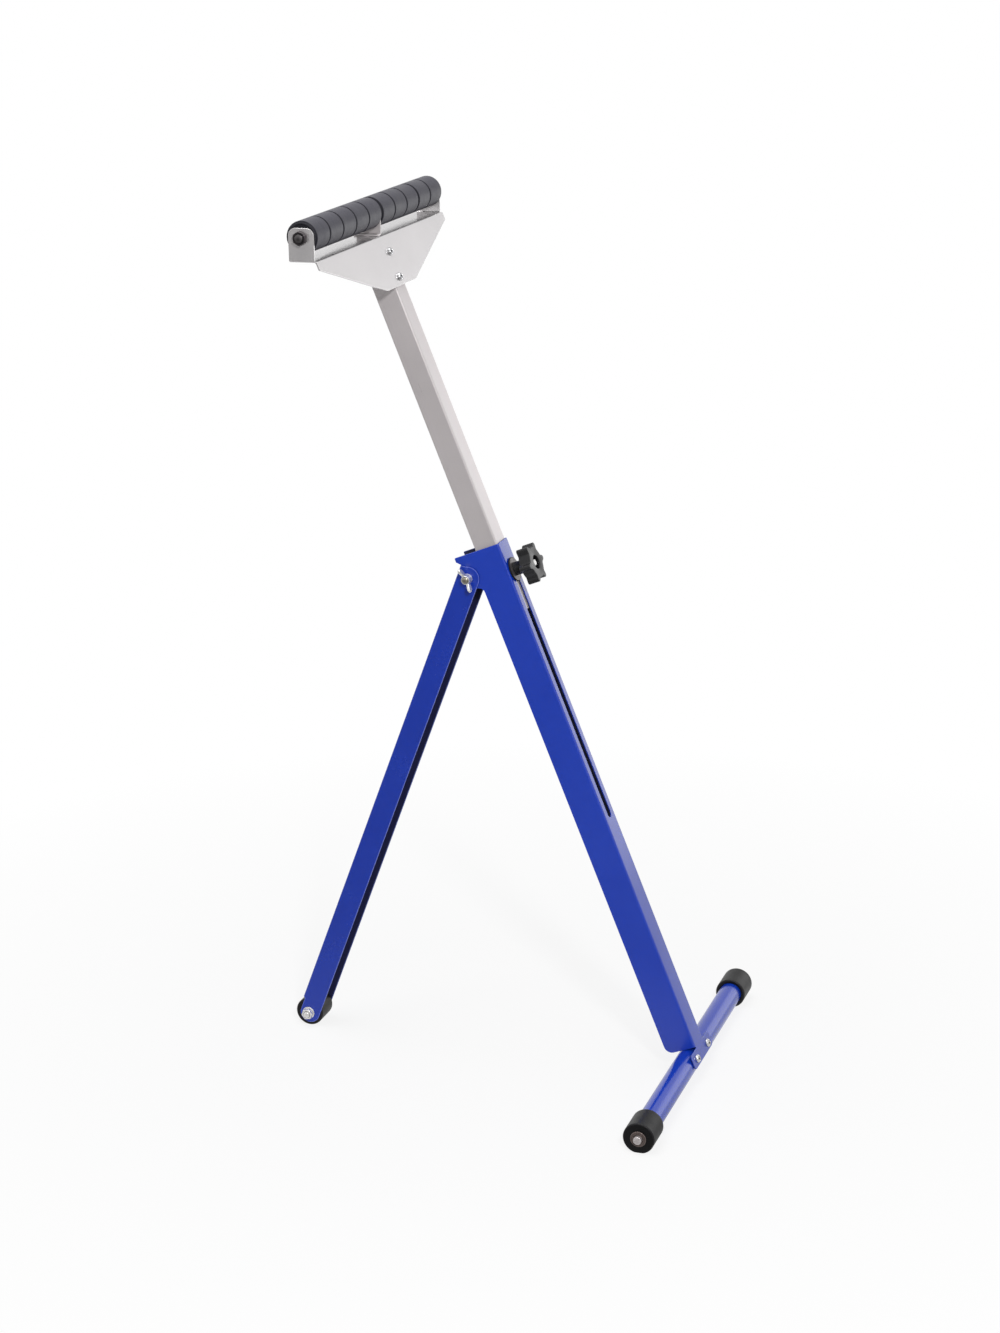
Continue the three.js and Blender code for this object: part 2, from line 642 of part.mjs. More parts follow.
// Section of the folded head in X and Z: level floor, then the plate leaning with the post.
function headSection() {
  const rear = AXLE_X - EAR_HALF;
  const foldX = -FOLD_UP * SIN_F;
  const down = PLATE_DROP;
  const t = HEAD_SHEET;
  const bite = t * Math.tan(Math.PI / 4 - FRONT_LEAN / 2);
  return polygon([
    [rear, FLOOR_Z], [foldX - bite, FLOOR_Z], [foldX, FLOOR_Z - bite],
    [foldX + down * SIN_F, FLOOR_Z - down * COS_F],
    [foldX + down * SIN_F - t * COS_F, FLOOR_Z - down * COS_F - t * SIN_F],
    [foldX - t * (1 - SIN_F) / COS_F, FLOOR_Z - t],
    [rear, FLOOR_Z - t],
  ]);
}

// Wedge taken off the lower corner of the plate, seen square to the plate.
function plateCorner(side) {
  const half = HEAD_WIDTH / 2;
  const shape = polygon([
    [side * (half + CUT_OVER), FOLD_UP - PLATE_SIDE],
    [side * half, FOLD_UP - PLATE_SIDE],
    [side * PLATE_FOOT / 2, FOLD_UP - PLATE_DROP],
    [side * PLATE_FOOT / 2, FOLD_UP - PLATE_DROP - CUT_OVER],
    [side * (half + CUT_OVER), FOLD_UP - PLATE_DROP - CUT_OVER],
  ]);
  return prismX(shape, -HEAD_SHEET - CUT_OVER, CUT_OVER).applyMatrix4(frontFrame);
}

function headBracket() {
  const folded = prismY(headSection(), HEAD_WIDTH);
  const earY = HEAD_WIDTH / 2 - HEAD_SHEET / 2;
  const ears = [-earY, earY].map((y) => ear(y, HEAD_SHEET).translate(AXLE_X, 0, AXLE_Z));
  const holes = [0, 1].map((k) => rodX(HEAD_SCREW_RADIUS + HOLE_PLAY, -2 * HEAD_SHEET, HEAD_SHEET, ROUND / 2)
    .translate(0, 0, FOLD_UP - HEAD_SCREW_UPPER - k * HEAD_SCREW_PITCH)
    .applyMatrix4(frontFrame));
  const axleHole = rodY(AXLE_RADIUS + HOLE_PLAY, -HEAD_WIDTH, HEAD_WIDTH).translate(AXLE_X, 0, AXLE_Z);
  return cut(join(folded, ...ears), plateCorner(-1), plateCorner(1), ...holes, axleHole);
}

// Middle support: an upright ear with a foot folded along the floor.
function middleEar() {
  const foot = new THREE.BoxGeometry(2 * EAR_HALF, MID_EAR_FOOT, HEAD_SHEET)
    .translate(0, HEAD_SHEET / 2 - MID_EAR_FOOT / 2, -AXLE_OVER_FLOOR + HEAD_SHEET / 2);
  const body = cut(join(ear(0, 0), foot), rodY(AXLE_RADIUS + HOLE_PLAY, -HEAD_WIDTH, HEAD_WIDTH));
  return body.translate(AXLE_X, 0, AXLE_Z + FIT);
}

function headScrew(row) {
  return domedBoltX(HEAD_SCREW_RADIUS, -HEAD_SCREW_LENGTH, 0, HEAD_SCREW_HEAD, HEAD_SCREW_RISE, ROUND / 2)
    .translate(FIT, 0, FOLD_UP - HEAD_SCREW_UPPER - row * HEAD_SCREW_PITCH);
}

const atAxle = (geometry) => geometry.translate(AXLE_X, 0, AXLE_Z);

function axleRod() {
  const half = HEAD_WIDTH / 2 + FIT + NUT_HEIGHT + BOLT_TIP;
  return atAxle(rodY(AXLE_RADIUS, -half, half));
}

function axleNut(side) {
  const start = HEAD_WIDTH / 2 + FIT;
  const nut = nutY(AXLE_RADIUS + HOLE_PLAY / 2, AXLE_NUT_FLATS, start, start + NUT_HEIGHT);
  return atAxle(side > 0 ? nut : nut.rotateZ(Math.PI));
}

// Roller places: two bays of loose rollers, each starting from the low-Y side of its bay.
function rollerStarts() {
  const bays = [
    [-HEAD_WIDTH / 2 + HEAD_SHEET, ROLLER_GAPS_NEAR],
    [HEAD_SHEET / 2, ROLLER_GAPS_FAR],
  ];
  return bays.flatMap(([edge, gaps]) => {
    let y = edge;
    return gaps.map((gap) => {
      const start = y + gap;
      y = start + ROLLER_LENGTH;
      return start;
    });
  });
}

function roller(start) {
  const end = start + ROLLER_LENGTH;
  const bore = AXLE_RADIUS + HOLE_PLAY;
  return atAxle(turned([
    [bore, start], [ROLLER_RADIUS - ROLLER_EDGE, start], [ROLLER_RADIUS, start + ROLLER_EDGE],
    [ROLLER_RADIUS, end - ROLLER_EDGE], [ROLLER_RADIUS - ROLLER_EDGE, end], [bore, end],
  ], ROUND_FINE));
}

const bluePaint = () => new THREE.MeshStandardMaterial({ color: 0x2a44b0, metalness: 0.2, roughness: 0.35 });
const zincSheet = () => new THREE.MeshStandardMaterial({ color: 0xc9c6c4, metalness: 0.8, roughness: 0.4 });
const brightZinc = () => new THREE.MeshStandardMaterial({ color: 0xd8d8d6, metalness: 0.9, roughness: 0.3 });
const blackPlastic = () => new THREE.MeshStandardMaterial({ color: 0x1c1c1e, metalness: 0, roughness: 0.5 });
const blackRubber = () => new THREE.MeshStandardMaterial({ color: 0x2a292a, metalness: 0, roughness: 0.8 });
const blackSteel = () => new THREE.MeshStandardMaterial({ color: 0x3a3838, metalness: 0.7, roughness: 0.4 });
const greyRoller = () => new THREE.MeshStandardMaterial({ color: 0x3c3c40, metalness: 0, roughness: 0.55 });

const PIECES = [
  ['front_leg_channel', frontLegChannel(), bluePaint, frontFrame],
  ['foot_tube', footTube(), bluePaint, frontFrame],
  ['foot_cap_near', footCap(-1), blackRubber, worldFrame],
  ['foot_cap_far', footCap(1), blackRubber, worldFrame],
  ['foot_rod', footRod(), brightZinc, frontFrame],
  ['foot_washer_near', footWasher(-1), brightZinc, frontFrame],
  ['foot_washer_far', footWasher(1), brightZinc, frontFrame],
  ['tab_screw_near', tabScrew(-1), brightZinc, frontFrame],
  ['tab_screw_far', tabScrew(1), brightZinc, frontFrame],
  ['pivot_bolt', pivotBolt(), brightZinc, frontFrame],
  ['pivot_sleeve', pivotSleeve(), brightZinc, frontFrame],
  ['pivot_washer_near', pivotWasher(-1), brightZinc, frontFrame],
  ['pivot_washer_far', pivotWasher(1), brightZinc, frontFrame],
  ['wing_nut', wingNut(), brightZinc, frontFrame],
  ['rear_leg_channel', rearLegChannel(), bluePaint, rearFrame],
  ['rear_foot', rearFoot(), blackRubber, rearFrame],
  ['rear_foot_bolt', rearBolt(), brightZinc, rearFrame],
  ['rear_foot_washer', rearWasher(), brightZinc, rearFrame],
  ['rear_foot_nut', rearNut(), brightZinc, rearFrame],
  ['inner_post', innerPost(), zincSheet, frontFrame],
  ['clamp_bolt', clampBolt(), brightZinc, frontFrame],
  ['clamp_washer', clampWasher(), blackPlastic, frontFrame],
  ['clamp_knob', knob(), blackPlastic, frontFrame],
  ['head_bracket', headBracket(), zincSheet, worldFrame],
  ['head_middle_ear', middleEar(), zincSheet, worldFrame],
  ['head_screw_upper', headScrew(0), brightZinc, frontFrame],
  ['head_screw_lower', headScrew(1), brightZinc, frontFrame],
  ['axle_rod', axleRod(), brightZinc, worldFrame],
  ['axle_nut_near', axleNut(-1), blackSteel, worldFrame],
  ['axle_nut_far', axleNut(1), blackSteel, worldFrame],
  ...rollerStarts().map((start, k) => [
    `roller_${String(k + 1).padStart(2, '0')}`, roller(start), greyRoller, worldFrame,
  ]),
];

const stand = new THREE.Group();
stand.name = 'roller_stand';
for (const [name, geometry, finish, frame] of PIECES) {
  const mesh = new THREE.Mesh(weld(geometry).applyMatrix4(frame), finish());
  mesh.name = name;
  mesh.geometry.computeVertexNormals();
  stand.add(mesh);
}

// The origin goes under the middle of the overall box.
const box = new THREE.Box3().setFromObject(stand);
const middle = box.getCenter(new THREE.Vector3());
for (const mesh of stand.children) {
  mesh.geometry.translate(-middle.x, -middle.y, -box.min.z);
}

export default stand;
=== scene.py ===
"""Folding roller stand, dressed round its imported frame.

Sub-assembly sizes are in millimetres and meshes in metres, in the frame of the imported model:
+Z up, +X towards the cross foot, +Y along the roller axle, floor at zero.
"""
import logging
import math
from dataclasses import dataclass, field
from enum import Enum
from typing import Callable

import bpy
import numpy as np
from mathutils import Matrix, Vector
from mathutils.geometry import delaunay_2d_cdt


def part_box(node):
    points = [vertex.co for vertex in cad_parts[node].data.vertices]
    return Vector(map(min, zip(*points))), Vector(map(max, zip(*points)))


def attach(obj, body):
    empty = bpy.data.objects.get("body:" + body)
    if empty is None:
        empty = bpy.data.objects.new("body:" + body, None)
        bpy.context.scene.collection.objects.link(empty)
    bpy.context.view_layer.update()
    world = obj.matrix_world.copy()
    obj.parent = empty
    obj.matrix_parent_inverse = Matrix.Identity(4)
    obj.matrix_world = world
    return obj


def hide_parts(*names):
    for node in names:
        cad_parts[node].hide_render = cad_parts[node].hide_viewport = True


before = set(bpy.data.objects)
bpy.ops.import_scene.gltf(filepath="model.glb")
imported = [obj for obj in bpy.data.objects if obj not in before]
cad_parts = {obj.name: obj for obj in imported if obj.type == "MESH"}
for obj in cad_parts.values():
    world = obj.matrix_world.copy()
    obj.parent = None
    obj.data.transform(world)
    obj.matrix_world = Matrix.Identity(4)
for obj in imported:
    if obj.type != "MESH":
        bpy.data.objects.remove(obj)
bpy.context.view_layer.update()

LOG = logging.getLogger("roller_stand")
MM = 0.001
Array = np.ndarray
Colour = tuple[float, float, float]


class Slot(Enum):
    """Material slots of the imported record."""

    PAINT = "blue_powder_coat"
    SHEET = "zinc_sheet"
    HARDWARE = "zinc_hardware"
    RUBBER = "black_rubber"
    PLASTIC = "black_plastic"
    ROLLER = "grey_roller_plastic"
    DARK = "blackened_steel"


class Body(Enum):
    """Moving bodies of the stand that carry more than one piece or a single turning piece."""

    FRAME = "front_frame"
    LEG = "rear_leg"
    POST = "post"
    KNOB = "knob"
    WING = "wing_nut"


class Axis(Enum):
    """Local axis that a turned shape runs along."""

    X = 0
    Y = 1


@dataclass(frozen=True)
class Seat:
    """Where a shape sits: a turn about Y in radians and an origin in millimetres."""

    turn: float
    x: float
    z: float

    def place(self, local: Array) -> Array:
        """Turns points about Y by the seat's angle and moves them to its origin.

        Args:
            local: points in the seat's own axes, last dimension 3.

        Returns:
            The points in the stand's frame.
        """
        c, s = math.cos(self.turn), math.sin(self.turn)
        turn = np.array([[c, 0.0, s], [0.0, 1.0, 0.0], [-s, 0.0, c]])
        return local @ turn.T + np.array([self.x, 0.0, self.z])

    def at(self, x: float, z: float) -> "Seat":
        """Gives the seat moved to a point of its own axes."""
        p = self.place(np.array([x, 0.0, z]))
        return Seat(self.turn, float(p[0]), float(p[2]))

    def turned(self, angle: float) -> "Seat":
        """Gives the seat turned further about Y."""
        return Seat(self.turn + angle, self.x, self.z)


FRONT_LEAN = math.radians(21.45)
REAR_LEAN = math.radians(21.15)
FRONT_SEAT = Seat(-FRONT_LEAN, 280.1688, 0.0)
PIVOT_SEAT = FRONT_SEAT.at(-52.8, 691.7)
CLAMP_SEAT = FRONT_SEAT.at(0.0, 682.0)
FOOT_SEAT = FRONT_SEAT.at(-16.4, 26.1054)
LEG_SEAT = Seat(REAR_LEAN, PIVOT_SEAT.x, PIVOT_SEAT.z)
AXLE_SEAT = Seat(0.0, -144.6856, 1061.1)
SHEET_SHARP = 12.0


@dataclass
class Skin:
    """One closed surface: points in millimetres, faces, a mask of edges (for rubbed wear and painted edge highlights)
    and one of the inner side, recesses and gaps (for painted shade).
    """

    points: Array
    quads: Array
    triangles: Array
    edge: Array
    inner: Array

    def volume(self) -> float:
        """Gives the signed volume, from the tetrahedra between each triangle and the origin."""
        tri = np.concatenate([self.quads[:, [0, 1, 2]], self.quads[:, [0, 2, 3]], self.triangles])
        a, b, c = (self.points[tri[:, k]] for k in range(3))
        return float((a * np.cross(b, c)).sum() / 6)

    def outward(self) -> "Skin":
        """Gives the surface with its faces pointing outwards."""
        if self.volume() >= 0:
            return self
        return Skin(self.points, self.quads[:, ::-1], self.triangles[:, ::-1], self.edge, self.inner)


def grid_skin(rows: Array, edge: Array, ring: bool) -> Skin:
    """Joins a grid of points into a closed surface.

    Columns always close round. Rows close round as well where ring is true; otherwise the first
    and last rows are poles, each taken as one point with a fan of triangles.

    Args:
        rows: grid of points, rows by columns by 3.
        edge: edge mask of each row, for rubbed wear and painted edge highlights.
        ring: whether the last row joins the first.

    Returns:
        The closed surface, faces outwards.
    """
    count, cols = rows.shape[:2]
    mask = np.repeat(edge[:, None], cols, axis=1)
    j = np.arange(cols)
    after = (j + 1) % cols
    if ring:
        i = np.arange(count)[:, None]
        below = (i + 1) % count
        quads = np.stack([i * cols + j, i * cols + after, below * cols + after, below * cols + j], -1)
        flat = np.zeros((0, 3), int)
        return Skin(rows.reshape(-1, 3), quads.reshape(-1, 4), flat, mask.ravel(), 0 * mask.ravel()).outward()
    body = rows[1:-1].reshape(-1, 3)
    top, bottom = len(body), len(body) + 1
    i = np.arange(count - 3)[:, None]
    quads = np.stack([i * cols + j, i * cols + after, (i + 1) * cols + after, (i + 1) * cols + j], -1)
    last = (count - 3) * cols
    fans = np.concatenate([
        np.stack([np.full(cols, top), after, j], -1),
        np.stack([np.full(cols, bottom), last + j, last + after], -1),
    ])
    points = np.concatenate([body, rows[:1, 0], rows[-1:, 0]])
    masks = np.concatenate([mask[1:-1].ravel(), edge[:1], edge[-1:]])
    return Skin(points, quads.reshape(-1, 4), fans, masks, 0 * masks).outward()


def soften(
    corners: list[tuple[float, float]] | Array,
    radii: float | Array,
    steps: int = 4,
    guard: float = 0.0,
    ring: bool = True,
) -> tuple[Array, Array]:
    """Rounds the corners of an outline with circular arcs.

    A corner P between the touching points A and B becomes the curve
    ((1-u)^2 A + 2 w u (1-u) P + u^2 B) / ((1-u)^2 + 2 w u (1-u) + u^2), with w the sine of half
    the corner's angle, which is an arc of a circle. A guard adds a point on each side past the arc.

    Args:
        corners: outline corners.
        radii: one radius, or one for each corner.
        steps: divisions of each arc.
        guard: distance of the added points past the arc, or zero for none.
        ring: whether the outline closes on itself; an open one keeps its two ends sharp.

    Returns:
        The points, and a mask that is 1 on the arcs that bulge outwards.
    """
    p = np.asarray(corners, float)
    radius = np.broadcast_to(np.asarray(radii, float), len(p)).copy()
    if not ring:
        radius[[0, -1]] = 0.0
    before, after = np.roll(p, 1, 0) - p, np.roll(p, -1, 0) - p
    back, ahead = np.linalg.norm(before, axis=1), np.linalg.norm(after, axis=1)
    db, da = before / back[:, None], after / ahead[:, None]
    half = 0.5 * np.arccos(np.clip((db * da).sum(1), -1.0, 0.999999))
    reach = np.minimum(radius / np.tan(half), 0.45 * np.minimum(back, ahead))
    a, b = p + db * reach[:, None], p + da * reach[:, None]
    u = np.linspace(0.0, 1.0, steps + 1)[None, :, None]
    w = np.sin(half)[:, None, None]
    near, far, mid = (1 - u) ** 2, u**2, 2 * w * u * (1 - u)
    arcs = (near * a[:, None] + mid * p[:, None] + far * b[:, None]) / (near + mid + far)
    cross = db[:, 0] * da[:, 1] - db[:, 1] * da[:, 0]
    area = (p[:, 0] * np.roll(p[:, 1], -1) - p[:, 1] * np.roll(p[:, 0], -1)).sum()
    edge_mark = np.repeat(((cross * area < 0) & (radius > 0)).astype(float)[:, None], steps + 1, 1)
    if guard > 0:
        first = p + db * np.minimum(reach + guard, 0.49 * back)[:, None]
        second = p + da * np.minimum(reach + guard, 0.49 * ahead)[:, None]
        arcs = np.concatenate([first[:, None], arcs, second[:, None]], 1)
        edge_mark = np.pad(edge_mark, ((0, 0), (1, 1)))
        if not ring:
            arcs[0, 0], arcs[-1, -1] = p[0], p[-1]
    points, mask = arcs.reshape(-1, 2), edge_mark.ravel()
    step = np.linalg.norm(points - np.roll(points, 1, 0), axis=1) > 1e-7
    step[0] = step[0] or not ring
    return points[step], mask[step]


def arc(x: float, y: float, radius: float, start: float, stop: float, count: int) -> Array:
    """Gives points round a circle: centre plus radius times cosine and sine, angles in degrees."""
    turn = np.radians(np.linspace(start, stop, count))
    return np.stack([x + radius * np.cos(turn), y + radius * np.sin(turn)], -1)


def along(axis: Axis, radius: Array, run: Array, turn: Array) -> Array:
    """Wraps radii round an axis: (run, r cos, r sin) for X and (r cos, run, r sin) for Y.

    Args:
        axis: axis that the shape runs along.
        radius: radius of each point.
        run: place of each point along the axis.
        turn: angle of each point about the axis.

    Returns:
        The points, last dimension 3.
    """
    radius, run, turn = np.broadcast_arrays(radius, run, turn)
    across = radius * np.cos(turn)
    parts = (run, across) if axis is Axis.X else (across, run)
    return np.stack([*parts, radius * np.sin(turn)], -1)


def full_turn(count: int) -> Array:
    """Gives evenly spaced angles of one turn, as a row."""
    return np.linspace(0.0, 2 * math.pi, count, endpoint=False)[None, :]


def turned(
    corners: list[tuple[float, float]],
    radii: float | list[float] = 0.4,
    axis: Axis = Axis.Y,
    ring: bool = True,
    facets: int = 96,
    steps: int = 4,
) -> Skin:
    """Turns an outline of (radius, run) corners about an axis, with rounded corners.

    Args:
        corners: outline corners; an open outline starts and ends on the axis.
        radii: edge radius, one or one for each corner.
        axis: axis of the turning.
        ring: whether the outline is closed and clear of the axis.
        facets: divisions of the full turn.
        steps: divisions of each rounded corner.

    Returns:
        The turned surface.
    """
    outline, edge = soften(corners, radii, steps, guard=0.7, ring=ring)
    rows = along(axis, outline[:, :1], outline[:, 1:], full_turn(facets))
    return grid_skin(rows, edge, ring)


def hexagon(flats: float, turn: Array) -> Array:
    """Gives a hexagon's radius at each angle, its corners eased.

    The radius is (sum over the six sides of max(0, cos(turn - side) / half)^p)^(-1/p) with p = 60.

    Args:
        flats: width across the flats.
        turn: angles.

    Returns:
        The radii.
    """
    sides = np.arange(6)[:, None, None] * math.pi / 3
    lean = np.maximum(np.cos(turn[None] - sides), 0.0) / (flats / 2)
    return (lean**60).sum(0) ** (-1 / 60)


def thread(radius: float, start: float, stop: float, turn: Array, pitch: float) -> tuple[Array, Array]:
    """Gives a screw thread: radius less a depth times half of 1 - cos(2 pi run / pitch - turn).

    Args:
        radius: radius over the crests.
        start: run where the thread begins.
        stop: run where it ends.
        turn: angles, as a row.
        pitch: distance between crests.

    Returns:
        The run of each row and the radius at each row and angle.
    """
    rows = max(3, int(abs(stop - start) / pitch * 8))
    run = np.linspace(start, stop, rows)[:, None]
    fade = np.clip(np.minimum(abs(run - start), abs(stop - run)) / pitch, 0.0, 1.0)
    wave = 0.5 - 0.5 * np.cos(2 * math.pi * run / pitch - turn)
    return run, radius - 0.3 * pitch * fade * wave


def nut(flats: float, bore: float, start: float, stop: float, facets: int = 96) -> Skin:
    """Builds a chamfered hexagon nut along Y.

    Each ring is a circle or the hexagon; where the hexagon passes the chamfer circle its end drops
    by the overhang times the tangent of 30 degrees.

    Args:
        flats: width across the flats.
        bore: hole radius.
        start: run of the lower face.
        stop: run of the upper face.
        facets: divisions of the full turn.

    Returns:
        The nut's surface.
    """
    turn = full_turn(facets)
    outer = hexagon(flats, turn)
    rim = 0.96 * flats / 2
    drop = np.maximum(outer - rim, 0.0) * math.tan(math.radians(30))
    way = math.copysign(1.0, stop - start)
    lip = 0.6
    radius = [bore, bore + lip, rim - lip, rim, outer - 0.1, outer]
    rise = [lip, 0.0, 0.0, 0.0, drop, drop + 0.25]
    radii = np.concatenate([np.broadcast_to(r, turn.shape) for r in radius])
    rises = way * np.concatenate([np.broadcast_to(y, turn.shape) for y in rise])
    rows = along(Axis.Y, np.concatenate([radii, radii[::-1]]),
                 np.concatenate([start + rises, stop - rises[::-1]]), turn)
    edge = np.array([0.3, 0.6, 0.0, 0.8, 1.0, 1.0, 1.0, 1.0, 0.8, 0.0, 0.6, 0.3])
    return grid_skin(rows, edge, True)


def hex_bolt(flats: float, head: float, radius: float, seat: float, tip: float, threaded: float) -> Skin:
    """Builds a hexagon-headed bolt along Y, its head beyond the seat on the +Y side.

    Rings run from the head's middle, over the chamfered hexagon and down the shank, whose last
    stretch carries a thread, to a chamfered tip.

    Args:
        flats: width across the head's flats.
        head: head height.
        radius: shank radius.
        seat: run of the face under the head.
        tip: run of the far end.
        threaded: length of the thread.

    Returns:
        The bolt's surface.
    """
    turn = full_turn(96)
    outer = hexagon(flats, turn)
    rim = 0.95 * flats / 2
    drop = np.maximum(outer - rim, 0.0) * math.tan(math.radians(30))
    top = np.full_like(turn, seat + head)
    low = np.full_like(turn, seat)
    run, screw = thread(radius, tip + threaded, tip + 0.8, turn, 1.25)
    radii = [0 * turn, 0 * turn + rim - 0.6, 0 * turn + rim, outer, outer, 0 * turn + rim, 0 * turn + radius + 0.3,
             0 * turn + radius, 0 * turn + radius]
    runs = [top, top, top, top - drop, low + drop, low, low, low - 0.4, 0 * low + tip + threaded + 0.5]
    ends = [0 * turn + 0.75 * radius, 0 * turn]
    radius_rows = np.concatenate([np.concatenate(radii), screw, np.concatenate(ends)])
    run_rows = np.concatenate([np.concatenate(runs), np.repeat(run, 96, 1), np.full((2, 96), tip)])
    edge = np.concatenate([[0, 0, 0.8, 1, 0.6, 0.4, 0, 0, 0], np.full(len(screw), 0.35), [0.9, 0.2]])
    return grid_skin(along(Axis.Y, radius_rows, run_rows, turn), edge, False)


def stud(axis: Axis, radius: float, start: float, stop: float, threaded: float) -> Skin:
    """Builds a plain rod along an axis with a thread and a chamfer at both ends.

    Args:
        axis: axis of the rod.
        radius: rod radius.
        start: run of one end.
        stop: run of the other end.
        threaded: thread length at each end.

    Returns:
        The rod's surface.
    """
    turn = full_turn(64)
    first, low = thread(radius, start + 0.8, start + threaded, turn, 1.25)
    second, high = thread(radius, stop - threaded, stop - 0.8, turn, 1.25)
    end = np.concatenate([0 * turn, 0 * turn + 0.75 * radius])
    radii = np.concatenate([end, low, high, end[::-1]])
    runs = np.concatenate([np.full((2, 1), start), first, second, np.full((2, 1), stop)])
    edge = np.concatenate([[0.2, 0.9], np.full(len(low) + len(high), 0.35), [0.9, 0.2]])
    return grid_skin(along(axis, radii, runs, turn), edge, False)


def pan_screw(radius: float, tip: float, head: float, rise: float, cross: float) -> Skin:
    """Builds a round-headed screw along X with a cross recess, its seat at zero.

    The head follows run = rise (1 - (r / head)^2.6)^(1 / 2.6); the recess sinks it by a depth
    times the larger of two arms, each a product of smooth steps across and along the arm.

    Args:
        radius: shank radius.
        tip: run of the shank's end, below zero.
        head: head radius.
        rise: head height.
        cross: depth of the recess.

    Returns:
        The screw's surface.
    """
    turn = full_turn(96)
    sweep = np.concatenate([np.linspace(0.0, 0.8, 26), 1 - np.geomspace(0.17, 0.004, 8), [1.0]])[:, None]
    dome = rise * (1 - sweep**2.6) ** (1 / 2.6) + 0.25 * (1 - sweep**8)
    grid = along(Axis.X, head * sweep, dome, turn)
    y, z = abs(grid[..., 1]) / head, abs(grid[..., 2]) / head
    arm = [np.clip((0.2 - p) / 0.06, 0, 1) * np.clip((0.66 - q) / 0.12, 0, 1) for p, q in ((y, z), (z, y))]
    sunk = np.maximum(*arm)
    grid[..., 0] -= cross * sunk
    shank = along(Axis.X, np.array([[radius], [radius], [0.7 * radius], [0.0]]),
                  np.array([[0.0], [tip + 0.8], [tip], [tip]]), turn)
    edge = np.concatenate([np.clip(4 * sweep[:, 0] - 3, 0, 1), [0.0, 0.0, 0.4, 0.0]])
    skin = grid_skin(np.concatenate([grid, shank]), edge, False)
    # The recess and the head's middle are marked for a painted shade.
    skin.inner[: sunk[1:].size] = sunk[1:].ravel()
    skin.inner[-2] = 1.0
    return skin


